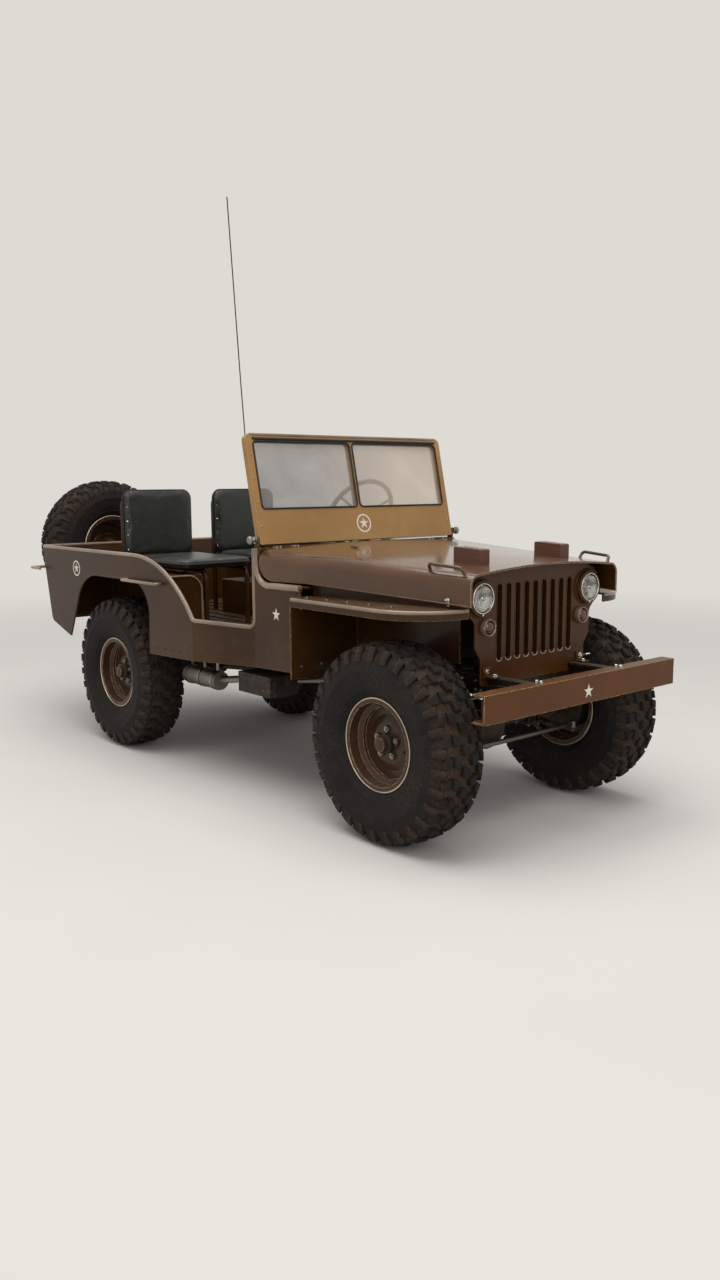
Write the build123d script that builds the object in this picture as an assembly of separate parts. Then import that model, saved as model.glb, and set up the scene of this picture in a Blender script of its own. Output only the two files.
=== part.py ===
from build123d import *
from math import cos, radians, sin, tan
import os

# Small open army 4x4 car on all-terrain tyres, in millimetres.
# +X is forward, +Y is to the car's left, +Z is up; the origin is on the ground
# below the middle of the overall length.

# Driving dimensions
HALF_LENGTH = 1390.0
FRONT_AXLE = 1012.0
REAR_AXLE = -565.0
TYRE_R = 300.0
TYRE_HALF = 90.0
WHEEL_Y = 414.0
KINGPIN_Y = 290.0
RAIL_Y = 185.0
BODY_Y = 516.0
COWL_Y = 458.0
SHEET = 6.0
GAP = 6.0
RUN = 0.05
FIT = 0.3

# Heights
FRAME_LOW = 430.0
FRAME_TOP = 490.0
FLOOR_Z = 496.0
REAR_LOW = 470.0
SILL_Z = 575.0
RAIL_Z = 784.0
WELL_Z = 706.0
ARCH_Z = 693.0
FENDER_Z = 698.0
COWL_Z = 838.0

# Places along the car
BODY_REAR = -1127.0
REAR_LEAN = 0.22
BODY_FRONT = 632.0
DOOR_REAR = 86.0
DOOR_FRONT = 382.0
FIREWALL = 560.0
HOOD_REAR = 414.0
HOOD_FRONT = 1240.0
GRILLE_X = 1190.0
FENDER_FRONT = 1210.0


def rear_x(z):
    """Where the leaning rear panel's outer face is at a height."""
    return BODY_REAR + REAR_LEAN * (RAIL_Z - z)


def box(x, y, z):
    """A block between two limits along each axis."""
    centre = [(low + high) / 2 for low, high in (x, y, z)]
    return Pos(*centre) * Box(x[1] - x[0], y[1] - y[0], z[1] - z[0])


def bar(start, end, radius):
    """A round bar between two points."""
    start, end = Vector(*start), Vector(*end)
    plane = Plane(origin=start, z_dir=end - start)
    along = (Align.CENTER, Align.CENTER, Align.MIN)
    return plane * Cylinder(radius, (end - start).length, align=along)


def tube(points, radius, bend):
    """A round bar swept through the points, with rounded bends."""
    path = FilletPolyline(*points, radius=bend)
    return sweep(Plane(origin=path @ 0, z_dir=path % 0) * Circle(radius), path=path)


def outline(corners):
    """A closed face of lines and corner arcs, from rows of u, v and corner radius."""
    ends = []
    for i, (u, v, radius) in enumerate(corners):
        corner = Vector(u, v)
        if radius == 0:
            ends.append((corner, None, corner))
            continue
        back = (Vector(*corners[i - 1][:2]) - corner).normalized()
        ahead = (Vector(*corners[(i + 1) % len(corners)][:2]) - corner).normalized()
        half = radians(back.get_angle(ahead)) / 2
        reach = radius / tan(half)
        centre = corner + (back + ahead).normalized() * (radius / sin(half))
        middle = centre + (corner - centre).normalized() * radius
        ends.append((corner + back * reach, middle, corner + ahead * reach))
    edges = []
    for i, (start, middle, end) in enumerate(ends):
        if middle is not None:
            edges.append(ThreePointArc(start, middle, end))
        following = ends[(i + 1) % len(ends)][0]
        if (following - end).length > 1e-6:
            edges.append(Line(end, following))
    return make_face(edges)


def side_plate(corners, y):
    """An outline in X and Z, as thick as the Y limits."""
    plane = Plane(origin=(0, y[1], 0), x_dir=(1, 0, 0), z_dir=(0, -1, 0))
    return extrude(plane * outline(corners), y[1] - y[0], dir=(0, -1, 0))


def front_plate(corners, x):
    """An outline in Y and Z, as thick as the X limits."""
    plane = Plane(origin=(x[0], 0, 0), x_dir=(0, 1, 0), z_dir=(1, 0, 0))
    return extrude(plane * outline(corners), x[1] - x[0], dir=(1, 0, 0))


def plan_plate(corners, z):
    """An outline in X and Y, as thick as the Z limits."""
    return extrude(Plane(origin=(0, 0, z[0])) * outline(corners), z[1] - z[0], dir=(0, 0, 1))


def lens(radius, depth):
    """A lens that looks along X, with a rounded rim."""
    section = [(0, 0, 0), (0, radius, 0), (depth, radius, depth * 0.9), (depth, 0, 0)]
    return revolve(outline(section), axis=Axis.X)


def other_side(shape):
    """The same shape on the other side of the car."""
    return mirror(shape, about=Plane.XZ)


def both_sides(shape):
    """The shape and its mirror image, as separate solids."""
    return shape.solids() + other_side(shape).solids()


def turned(profile):
    """A ring or disc about Y, from rows of radius, y and corner radius."""
    return revolve(outline(profile), axis=Axis.Y)


nodes = {}


def save(name, *shapes):
    """Keeps the solids of a node."""
    solids = []
    for shape in shapes:
        solids += shape if isinstance(shape, list) else shape.solids()
    if not solids:
        raise ValueError(f"{name} has no solid")
    nodes[name] = Compound(solids)


# Wheels: steel disc wheels with a deep outer dish, on drums
RIM_PROFILE = [
    (140, -64, 0), (140, -60, 0), (127, -60, 0), (125, -30, 0), (112, -22, 0),
    (112, 20, 0), (125, 30, 0), (127, 60, 0), (140, 60, 0), (140, 64, 0),
    (123, 64, 0), (121, 32, 0), (108, 22, 0), (108, -24, 0), (121, -33, 0), (123, -64, 0),
]
DISC_PROFILE = [
    (110, 6, 0), (110, 12, 0), (84, 12, 0), (60, 20, 0), (30, 20, 0),
    (30, 14, 0), (60, 14, 0), (84, 6, 0),
]
CARCASS_R = 286.0
TYRE_PROFILE = [
    (127, 60, 0), (143, 60, 0), (176, 87, 30), (252, TYRE_HALF, 36), (CARCASS_R, 58, 30),
    (CARCASS_R, -58, 30), (252, -TYRE_HALF, 36), (176, -87, 30), (143, -60, 0), (127, -60, 0),
]
LUGS = 15
LUG_HALF = 19.0
SHOULDER_LUG = [(278, 30, 0), (TYRE_R, 30, 0), (TYRE_R, 56, 0), (286, 80, 0), (258, 90, 0), (258, 70, 0)]
CENTRE_LUG = [(278, -22, 0), (TYRE_R, -22, 0), (TYRE_R, 22, 0), (278, 22, 0)]
SPINDLE_R = 16.0
SPINDLE_END = 22.0
HUB_PROFILE = [
    (SPINDLE_R + RUN, -40, 0), (26, -40, 0), (26, -6, 0), (70, -6, 0), (70, -44, 0),
    (78, -44, 0), (78, 5, 0), (56, 5, 0), (56, 14, 0), (28, 14, 0), (28, 36, 0), (20, 44, 0),
    (0, 44, 0), (0, 26, 0), (SPINDLE_R + RUN, 26, 0),
]


def lug_tyre():
    """An off-road tyre: a round-shouldered ring with two shoulder rows of lugs and a middle one."""
    tread = []
    pitch = 360 / LUGS
    inner_lug = [(radius, -y, corner) for radius, y, corner in SHOULDER_LUG]
    for i in range(LUGS):
        for rows, lead in ((CENTRE_LUG, 0.5), (SHOULDER_LUG, 0.0), (inner_lug, 0.5)):
            block = extrude(Plane(origin=(0, 0, LUG_HALF)) * outline(rows), -2 * LUG_HALF)
            tread.append(Rot(0, 90 + pitch * (i + lead), 0) * block)
    return turned(TYRE_PROFILE).fuse(*tread)


TYRE = lug_tyre()


def wheel_parts():
    """The tyre, steel wheel and hub of a left wheel, about its own centre."""
    return {
        "tyre": TYRE,
        "wheel": turned(RIM_PROFILE) + turned(DISC_PROFILE),
        "hub": turned(HUB_PROFILE),
    }


for end, axle_x in (("front", FRONT_AXLE), ("rear", REAR_AXLE)):
    for piece, shape in wheel_parts().items():
        placed = Pos(axle_x, WHEEL_Y, TYRE_R) * shape
        save(f"{piece}_{end}_left", placed)
        save(f"{piece}_{end}_right", other_side(placed))

# Spare wheel behind the rear panel, right of the middle, on a leaning bracket
SPARE_Y = -125.0
SPARE_Z = 765.0
SPARE_X = -HALF_LENGTH + TYRE_HALF
spare_place = Pos(SPARE_X, SPARE_Y, SPARE_Z) * Rot(0, 0, 90)
save("spare_tyre", spare_place * TYRE)
save("spare_wheel", spare_place * (turned(RIM_PROFILE) + turned(DISC_PROFILE)))

# Everything ahead of the rear panel's outer face, to trim what is fixed to it
AHEAD = side_plate([(rear_x(900), 900, 0), (0, 900, 0), (0, 400, 0), (rear_x(400), 400, 0)], (-600, 600))
SPARE_FACE = SPARE_X - 14
PAD_Z = (SPARE_Z - 120, SPARE_Z + 10)
bracket = side_plate(
    [(rear_x(z) - 8, z, 0) for z in PAD_Z] + [(rear_x(z), z, 0) for z in reversed(PAD_Z)],
    (SPARE_Y - 95, SPARE_Y + 95),
)
bracket += bar((rear_x(SPARE_Z) + 40, SPARE_Y, SPARE_Z - 45), (SPARE_FACE + 12, SPARE_Y, SPARE_Z), 38) - AHEAD
bracket += bar((SPARE_FACE + 16, SPARE_Y, SPARE_Z), (SPARE_FACE, SPARE_Y, SPARE_Z), 56)
bracket += bar((SPARE_FACE + 2, SPARE_Y, SPARE_Z), (SPARE_FACE - 26, SPARE_Y, SPARE_Z), 22)
save("spare_bracket", bracket)

# Ladder frame: two channel rails, crossmembers, spring hangers and outriggers
RAIL_HALF = 18.0
RAIL_WALL = 5.0
RAIL_REAR = -1050.0
RAIL_FRONT = HALF_LENGTH - RAIL_WALL
SPRING_HALF = 230.0
SPRING_WIDTH = 32.0
EYE_Z = 402.0
EYE_R = 12.0
EYE_PIN_R = 5.0

rail = box((RAIL_REAR, RAIL_FRONT), (RAIL_Y - RAIL_HALF, RAIL_Y + RAIL_HALF), (FRAME_LOW, FRAME_TOP))
rail -= box(
    (RAIL_REAR - 1, RAIL_FRONT + 1),
    (RAIL_Y - RAIL_HALF - 1, RAIL_Y + RAIL_HALF - RAIL_WALL),
    (FRAME_LOW + RAIL_WALL, FRAME_TOP - RAIL_WALL),
)
SIDE_BOX = ((253.0, 438.0), (325.0, 440.0), (342.0, 405.0))
rail += box(SIDE_BOX[0], (RAIL_Y + RAIL_HALF - 3, SIDE_BOX[1][1]), (405, 411))
rail += box(SIDE_BOX[0], (RAIL_Y + RAIL_HALF - 3, RAIL_Y + RAIL_HALF + 3), (405, FRAME_LOW + 20))
frame = rail + other_side(rail)
frame += box((RAIL_REAR, RAIL_REAR + 50), (-RAIL_Y, RAIL_Y), (FRAME_LOW, FRAME_TOP))
CROSSMEMBERS = [  # place along the car, half length along the car
    (1150.0, 20.0),
    (1075.0, 20.0),
    (200.0, 20.0),
    (-384.0, 25.0),
]
members = []
end_y = RAIL_Y + RAIL_HALF - RAIL_WALL - FIT
member_z = (FRAME_LOW + RAIL_WALL + FIT, FRAME_TOP - RAIL_WALL - FIT)
for place, half in CROSSMEMBERS:
    members.append(box((place - half, place + half), (-end_y, end_y), member_z))
save("frame", frame, *members)

# Spring hangers: bent plates under the rails, each with the pin for a spring's eye
CHEEK = 5.0
HANGER_TOP = FRAME_LOW - FIT
hangers = []
for axle_x in (FRONT_AXLE, REAR_AXLE):
    for eye_x in (axle_x - SPRING_HALF, axle_x + SPRING_HALF):
        reach = SPRING_WIDTH / 2 + FIT
        cheek = [
            (eye_x - 24, HANGER_TOP, 0), (eye_x - 13, EYE_Z - 14, 8),
            (eye_x + 13, EYE_Z - 14, 8), (eye_x + 24, HANGER_TOP, 0),
        ]
        hanger = side_plate(cheek, (RAIL_Y - reach - CHEEK, RAIL_Y + reach + CHEEK))
        hanger -= box((eye_x - 30, eye_x + 30), (RAIL_Y - reach, RAIL_Y + reach), (300, HANGER_TOP - CHEEK))
        hanger += bar((eye_x, RAIL_Y - reach - 4, EYE_Z), (eye_x, RAIL_Y + reach + 4, EYE_Z), EYE_PIN_R)
        hangers += both_sides(hanger)
save("spring_hangers", hangers)
side_box = box(*SIDE_BOX)
save("side_boxes", both_sides(side_box))

# Front bumper: a channel, open to the rear, on the frame horns
BUMPER_HALF = 438.0
BUMPER_LOW = 416.0
BUMPER_TOP = 496.0
BUMPER_DEEP = 45.0
bumper = box((HALF_LENGTH - BUMPER_DEEP, HALF_LENGTH), (-BUMPER_HALF, BUMPER_HALF), (BUMPER_LOW, BUMPER_TOP))
bumper -= box(
    (HALF_LENGTH - BUMPER_DEEP - 1, HALF_LENGTH - RAIL_WALL),
    (-BUMPER_HALF - 1, BUMPER_HALF + 1),
    (BUMPER_LOW + RAIL_WALL, BUMPER_TOP - RAIL_WALL),
)
save("front_bumper", bumper)

# Tow hitch behind the rear crossmember
HITCH_R = 12.0
HITCH_X = RAIL_REAR - 50
hitch = box((HITCH_X - 34, RAIL_REAR), (-38, 38), (436, 450))
hitch -= bar((HITCH_X, 0, 420), (HITCH_X, 0, 460), HITCH_R)
hitch += box((RAIL_REAR - 8, RAIL_REAR), (-50, 50), (FRAME_LOW + 2, 464))
save("tow_hitch", hitch)

# Leaf springs over the axle tubes
LEAF = 6.0
LEAVES = 5
LEAF_STEP = 38.0
SEAT_TOP = 338.0
SPRING_RISE = 40.0
SPRING_R = (SPRING_HALF**2 + SPRING_RISE**2) / (2 * SPRING_RISE)


def leaf_spring(axle_x):
    """A pack of leaves on the left rail, curved upwards to its eyes."""
    top = SEAT_TOP + LEAF * LEAVES
    low, high = RAIL_Y - SPRING_WIDTH / 2, RAIL_Y + SPRING_WIDTH / 2
    pack = None
    for i in range(LEAVES):
        inner = SPRING_R + LEAF * i
        half = SPRING_HALF - LEAF_STEP * i
        lift = Pos(axle_x, RAIL_Y, top + SPRING_R) * Rot(90, 0, 0)
        leaf = lift * (Cylinder(inner + LEAF, SPRING_WIDTH) - Cylinder(inner, SPRING_WIDTH))
        leaf &= box((axle_x - half, axle_x + half), (RAIL_Y - 40, RAIL_Y + 40), (300, 450))
        pack = leaf if pack is None else pack + leaf
    for eye_x in (axle_x - SPRING_HALF, axle_x + SPRING_HALF):
        pack += bar((eye_x, low, EYE_Z), (eye_x, high, EYE_Z), EYE_R)
        pack -= bar((eye_x, low - 1, EYE_Z), (eye_x, high + 1, EYE_Z), EYE_PIN_R + RUN)
    return pack


save("front_springs", both_sides(leaf_spring(FRONT_AXLE)))
save("rear_springs", both_sides(leaf_spring(REAR_AXLE)))

# Live axles, with the differential cases right of the middle
DIFF_Y = -70.0
DIFF_R = 78.0
TUBE_R = 26.0
BALL_R = 38.0
PIN_R = 10.0
NOSE_R = 30.0
NOSE = 150.0


def axle_case(axle_x, nose):
    """Tubes, spring seats and differential case, with the pinion nose towards the middle."""
    case = bar((axle_x, -KINGPIN_Y + 20, TYRE_R), (axle_x, KINGPIN_Y - 20, TYRE_R), TUBE_R)
    case += Pos(axle_x, DIFF_Y, TYRE_R) * Sphere(DIFF_R)
    case += bar((axle_x, DIFF_Y, TYRE_R), (axle_x + nose * NOSE, DIFF_Y, TYRE_R), NOSE_R)
    for side in (-1, 1):
        y = side * RAIL_Y
        case += box((axle_x - 32, axle_x + 32), (y - 20, y + 20), (TYRE_R, SEAT_TOP))
    return case


front_axle = axle_case(FRONT_AXLE, -1)
for side in (-1, 1):
    y = side * KINGPIN_Y
    front_axle += Pos(FRONT_AXLE, y, TYRE_R) * Sphere(BALL_R)
    front_axle -= bar((FRONT_AXLE, y, TYRE_R - 50), (FRONT_AXLE, y, TYRE_R + 50), PIN_R + RUN)
save("front_axle", front_axle)

PLATE_R = 82.0
PLATE_Y = (WHEEL_Y - 56, WHEEL_Y - 50)
rear_axle = axle_case(REAR_AXLE, 1)
for side in (-1, 1):
    start, near, far, tip = [
        (REAR_AXLE, side * y, TYRE_R) for y in (KINGPIN_Y - 40, PLATE_Y[0], PLATE_Y[1], WHEEL_Y + SPINDLE_END)
    ]
    rear_axle += bar(start, near, TUBE_R)
    rear_axle += bar(near, far, PLATE_R)
    rear_axle += bar(near, tip, SPINDLE_R)
save("rear_axle", rear_axle)

# Steering knuckles: a shell round the axle's ball, its two kingpins, spindle and arms
SHELL_R = 48.0
SHELL_INNER = BALL_R + 5
ARM_LONG = 105.0
TIE_ARM_Z = (240.0, 250.0)
LINK_ARM = 70.0
LINK_ARM_Z = (384.0, 394.0)
STUD_R = 6.0


def arm(x, y, length, z, stud):
    """A flat steering arm that points forward, with the eye for its stud."""
    tip = x + length + 14
    shape = plan_plate([(x - 16, y - 16, 15), (tip, y - 14, 13), (tip, y + 14, 13), (x - 16, y + 16, 15)], z)
    return shape - bar((x + length, y, z[0] - 1), (x + length, y, z[1] + 1), stud)


def knuckle(with_link_arm):
    """The left knuckle, or the right one before it is mirrored."""
    x, y, z = FRONT_AXLE, KINGPIN_Y, TYRE_R
    shell = Pos(x, y, z) * (Sphere(SHELL_R) - Sphere(SHELL_INNER))
    shell &= box((x - 60, x + 60), (y - 10, y + 60), (z - 60, z + 60))
    for way in (-1, 1):
        near = (x, y, z + way * (SHELL_INNER + 1.5))
        shell += bar(near, (x, y, z + way * 52), 15)
        shell += bar((x, y, z + way * 18), near, PIN_R)
    shell += arm(x, y, ARM_LONG, TIE_ARM_Z, STUD_R + RUN)
    if with_link_arm:
        shell += bar((x, y, z + 50), (x, y, LINK_ARM_Z[1]), 14)
        shell += arm(x, y, LINK_ARM, LINK_ARM_Z, STUD_R + RUN)
    centre = (x, y + SHELL_INNER + 1, z)
    shell += bar(centre, (x, PLATE_Y[0], z), 30)
    shell += bar((x, PLATE_Y[0], z), (x, PLATE_Y[1], z), PLATE_R)
    shell += bar(centre, (x, WHEEL_Y + SPINDLE_END, z), SPINDLE_R)
    return shell


save("knuckle_left", knuckle(False))
save("knuckle_right", other_side(knuckle(True)))

# Tie rod ahead of the axle, and the drag link above it
TIE_Z = 260.0
tie_x = FRONT_AXLE + ARM_LONG
tie_rod = bar((tie_x, -KINGPIN_Y, TIE_Z), (tie_x, KINGPIN_Y, TIE_Z), 8)
for side in (-1, 1):
    y = side * KINGPIN_Y
    tie_rod += bar((tie_x, y, TIE_ARM_Z[1] + 0.4), (tie_x, y, TIE_Z + 10), 13)
    tie_rod += bar((tie_x, y, TIE_ARM_Z[0] - 4), (tie_x, y, TIE_Z), STUD_R)
save("tie_rod", tie_rod)

PITMAN_Y = 140.0
LINK_Z = 404.0
link_x = FRONT_AXLE + LINK_ARM
drag_link = bar((link_x, -KINGPIN_Y, LINK_Z), (link_x, PITMAN_Y, LINK_Z), 7)
for y in (-KINGPIN_Y, PITMAN_Y):
    drag_link += bar((link_x, y, LINK_ARM_Z[1] + 0.4), (link_x, y, LINK_Z + 9), 12)
    drag_link += bar((link_x, y, LINK_ARM_Z[0] - 4), (link_x, y, LINK_Z), STUD_R)
save("drag_link", drag_link)

# Steering box on the left rail, its pitman arm, column and wheel
SHAFT_R = 11.0
BOX_Z = (412.0, 476.0)
pitman = arm(FRONT_AXLE, PITMAN_Y, LINK_ARM, LINK_ARM_Z, STUD_R + RUN)
pitman += bar((FRONT_AXLE, PITMAN_Y, LINK_ARM_Z[0]), (FRONT_AXLE, PITMAN_Y, BOX_Z[1] - 20), SHAFT_R)
save("pitman_arm", pitman)

rail_edge = RAIL_Y - RAIL_HALF
steering_box = box((FRONT_AXLE - 46, FRONT_AXLE + 26), (PITMAN_Y - 22, rail_edge), BOX_Z)
steering_box += box(
    (FRONT_AXLE - 30, FRONT_AXLE + 10), (rail_edge - 2, RAIL_Y + RAIL_HALF - RAIL_WALL), (440, BOX_Z[1])
)
bore_z = (BOX_Z[0] - 1, BOX_Z[1] - 19)
steering_box -= bar((FRONT_AXLE, PITMAN_Y, bore_z[0]), (FRONT_AXLE, PITMAN_Y, bore_z[1]), SHAFT_R + RUN)
save("steering_box", steering_box)

COLUMN_R = 13.0
SHAFT_TOP_R = 9.0
COLUMN_SHORT = 110.0
wheel_at = Vector(110, 240, 930)
column_foot = Vector(FRONT_AXLE - 40, PITMAN_Y, 450)
column_way = (wheel_at - column_foot).normalized()
column_end = wheel_at - column_way * COLUMN_SHORT
column = bar(tuple(column_foot), tuple(column_end), COLUMN_R) - steering_box
column -= bar(tuple(column_end - column_way * 80), tuple(column_end + column_way), SHAFT_TOP_R + RUN)
save("steering_column", column)

RING_R = 140.0
ring_plane = Plane(origin=wheel_at, x_dir=(0, 1, 0), z_dir=column_way)
steering = ring_plane * Torus(RING_R, 9)
steering += ring_plane * (Pos(0, 0, -22) * Cylinder(24, 26))
for angle in (90, 210, 330):
    reach = Vector(cos(radians(angle)) * RING_R, sin(radians(angle)) * RING_R, 0)
    inner = ring_plane.from_local_coords(Vector(0, 0, -20))
    steering += bar(tuple(inner), tuple(ring_plane.from_local_coords(reach)), 5)
steering += bar(tuple(column_end - column_way * 70), tuple(wheel_at - column_way * 20), SHAFT_TOP_R)
save("steering_wheel", steering)

# Body sides: wide over the rear wheels, narrowing beside the footwell to the cowl
SIDE = [  # X, Z and corner radius
    (rear_x(REAR_LOW), REAR_LOW, 30), (BODY_REAR, RAIL_Z, 14), (-78, RAIL_Z, 522), (DOOR_REAR, SILL_Z, 20),
    (DOOR_FRONT, SILL_Z, 30), (DOOR_FRONT, COWL_Z, 0), (HOOD_REAR - GAP, COWL_Z, 0),
    (HOOD_REAR - GAP, 729, 60), (BODY_FRONT, 724, 0), (BODY_FRONT, 452, 10),
    (-219, 422, 6), (-206, ARCH_Z, 125), (-748, ARCH_Z, 180), (-888, 418, 10),
]
WALL_PLAN = [
    (BODY_REAR, BODY_Y, 0), (DOOR_REAR, BODY_Y, 60), (DOOR_FRONT, COWL_Y, 60), (BODY_FRONT, COWL_Y, 0),
    (BODY_FRONT, COWL_Y - SHEET, 0), (DOOR_FRONT, COWL_Y - SHEET, 66), (DOOR_REAR, BODY_Y - SHEET, 54),
    (BODY_REAR, BODY_Y - SHEET, 0),
]
side_panel = side_plate(SIDE, (440, 530)) & plan_plate(WALL_PLAN, (400, 900))
save("body_sides", both_sides(side_panel))

# Rear panel between the sides, leaning with their rear edges
inside = BODY_Y - SHEET
rear_panel = side_plate(
    [(rear_x(z), z, 0) for z in (REAR_LOW, RAIL_Z)] + [(rear_x(z) + SHEET, z, 0) for z in (RAIL_Z, REAR_LOW)],
    (-inside, inside),
)
save("rear_panel", rear_panel)

# Wheel wells beside and behind the seats
WELL_X = (-924.0, -198.0)
WELL_Y = 294.0
well = box(WELL_X, (WELL_Y, inside), (WELL_Z - SHEET, WELL_Z))
well += box(WELL_X, (WELL_Y, WELL_Y + SHEET), (FLOOR_Z, WELL_Z - SHEET))
for low in (WELL_X[0], WELL_X[1] - SHEET):
    well += box((low, low + SHEET), (WELL_Y, inside), (FLOOR_Z, WELL_Z - SHEET))
save("wheel_wells", both_sides(well))

# Floor, cut out for the rear wheels
narrow = COWL_Y - SHEET
floor_rear = rear_x(FLOOR_Z - SHEET) + SHEET
FLOOR = [
    (floor_rear, inside, 0), (WELL_X[0] + SHEET, inside, 0), (WELL_X[0] + SHEET, WELL_Y + SHEET, 0),
    (WELL_X[1] - SHEET, WELL_Y + SHEET, 0), (WELL_X[1] - SHEET, inside, 0), (DOOR_REAR - 10, inside, 0),
    (DOOR_FRONT, narrow - 1, 0), (DOOR_FRONT, 0, 0), (floor_rear, 0, 0),
]
floor_half = plan_plate(FLOOR, (FLOOR_Z - SHEET, FLOOR_Z))
save("floor_panel", floor_half + other_side(floor_half))

# Cowl: dash, plenum, firewall and toe board
DASH_LOW = 700.0
PLENUM_Z = 800.0
PLENUM_Y = 395.0
TOE_Z = 600.0
LEDGE_Z = 727.0
cowl_front = HOOD_REAR - GAP
cowl = box((DOOR_FRONT, DOOR_FRONT + SHEET), (-narrow, narrow), (DASH_LOW, COWL_Z))
cowl += box((DOOR_FRONT, cowl_front), (-narrow, narrow), (COWL_Z - SHEET, COWL_Z))
cowl += box((cowl_front - SHEET, cowl_front), (-narrow, narrow), (PLENUM_Z - SHEET, COWL_Z))
cowl += box((cowl_front - SHEET, FIREWALL), (-PLENUM_Y, PLENUM_Y), (PLENUM_Z - SHEET, PLENUM_Z))
cowl += box((FIREWALL - SHEET, FIREWALL), (-PLENUM_Y, PLENUM_Y), (TOE_Z, PLENUM_Z))
cowl += box((FIREWALL - SHEET, FIREWALL), (-narrow, narrow), (TOE_Z, LEDGE_Z))
cowl += side_plate(
    [(DOOR_FRONT, FLOOR_Z - SHEET, 0), (FIREWALL, TOE_Z, 0), (FIREWALL - SHEET, TOE_Z + 4, 0),
     (DOOR_FRONT, FLOOR_Z, 0)],
    (-narrow, narrow),
)
for side in (-1, 1):
    ledge = sorted((side * (PLENUM_Y - SHEET), side * narrow))
    cowl += box((cowl_front - SHEET, BODY_FRONT), ledge, (LEDGE_Z - SHEET, LEDGE_Z))
    cowl += box((cowl_front - SHEET, cowl_front), ledge, (LEDGE_Z - SHEET, PLENUM_Z))
    upright = sorted((side * (PLENUM_Y - SHEET), side * PLENUM_Y))
    cowl += box((cowl_front - SHEET, FIREWALL), upright, (LEDGE_Z - SHEET, PLENUM_Z))
cowl -= bar(tuple(column_foot), tuple(wheel_at), COLUMN_R + 4)

# Windshield hinge ears on the cowl, with their pins
HINGE_X = 396.0
HINGE_Z = 865.0
HINGE_R = 5.0
WS_HALF = 444.0
PIN_END = WS_HALF - 12
for side in (-1, 1):
    ear = [
        (HINGE_X - 13, COWL_Z - SHEET, 0), (HINGE_X + 10, COWL_Z - SHEET, 0),
        (HINGE_X + 10, HINGE_Z + 10, 9), (HINGE_X - 13, HINGE_Z + 10, 9),
    ]
    cowl += side_plate(ear, sorted((side * (WS_HALF + 1.5), side * narrow)))
    cowl += bar((HINGE_X, side * (WS_HALF + 4), HINGE_Z), (HINGE_X, side * PIN_END, HINGE_Z), HINGE_R)

# Windshield: raked frame with a solid lower panel and two panes
WS_LOW = 850.0
WS_TOP = 1211.0
WS_GLASS = 965.0
WS_DEEP = 25.0
WS_RAKE = radians(12.4)
WS_BAR = 26.0
WS_SKIN = 8.0
ws_high = (WS_TOP - WS_LOW) / cos(WS_RAKE)
glass_low = (WS_GLASS - WS_LOW) / cos(WS_RAKE)
ws_plane = Plane(
    origin=(HINGE_X + WS_DEEP / 2, 0, WS_LOW), x_dir=(0, 1, 0), z_dir=(cos(WS_RAKE), 0, sin(WS_RAKE))
)


def ws_plate(corners, depth, setback=0.0):
    """An outline across and up the windshield, going back from its front face."""
    face = ws_plane * (Pos(0, 0, -setback) * outline(corners))
    return extrude(face, depth, dir=-ws_plane.z_dir)


def pane(side, inset):
    """One pane's outline, drawn in by the inset."""
    low, high = glass_low + inset, ws_high - WS_BAR - inset
    inner, outer = sorted((side * (6 + inset), side * (WS_HALF - WS_BAR - inset)))
    return [(inner, low, 14), (outer, low, 14), (outer, high, 14), (inner, high, 14)]


WS_CORNER = 22.0
ws_frame = ws_plate(
    [(-WS_HALF, 0, 6), (WS_HALF, 0, 6), (WS_HALF, ws_high, WS_CORNER), (-WS_HALF, ws_high, WS_CORNER)],
    WS_DEEP,
)
ws_frame -= ws_plate(
    [(-WS_HALF + 40, 12, 10), (WS_HALF - 40, 12, 10), (WS_HALF - 40, glass_low - 14, 10),
     (-WS_HALF + 40, glass_low - 14, 10)],
    WS_DEEP,
    WS_SKIN,
)
panes = []
for side in (-1, 1):
    ws_frame -= ws_plate(pane(side, 0), WS_DEEP + 2, -1)
    bore = (side * (WS_HALF + 1), side * (PIN_END - 1))
    ws_frame -= bar((HINGE_X, bore[0], HINGE_Z), (HINGE_X, bore[1], HINGE_Z), HINGE_R + RUN)
    panes += ws_plate(pane(side, 0), 5, 10).solids()
save("windshield_frame", ws_frame)
save("windshield_glass", panes)

# Hood: one pressed shell, wide at the cowl and narrow at the grille
HOOD_LOW = 690.0
HOOD_SECTIONS = [  # place, half width, shoulder height, middle height, shoulder radius
    (HOOD_REAR, COWL_Y, 838.0, 846.0, 46.0),
    (HOOD_FRONT, 335.0, 797.0, 813.0, 34.0),
]


def hood_section(row, inset):
    """The hood's outline across the car, drawn in by the inset for its inside."""
    place, half, shoulder, middle, radius = row
    half, shoulder, middle, radius = half - inset, shoulder - inset, middle - inset, radius - inset
    low = HOOD_LOW - inset
    turn = radius * (1 - sin(radians(45)))
    side_top = shoulder - radius
    edges = [
        Line((-half, low), (-half, side_top)),
        ThreePointArc((-half, side_top), (-half + turn, shoulder - turn), (-half + radius, shoulder)),
        ThreePointArc((-half + radius, shoulder), (0, middle), (half - radius, shoulder)),
        ThreePointArc((half - radius, shoulder), (half - turn, shoulder - turn), (half, side_top)),
        Line((half, side_top), (half, low)),
        Line((half, low), (-half, low)),
    ]
    return Plane(origin=(place, 0, 0), x_dir=(0, 1, 0), z_dir=(1, 0, 0)) * make_face(edges)


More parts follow.
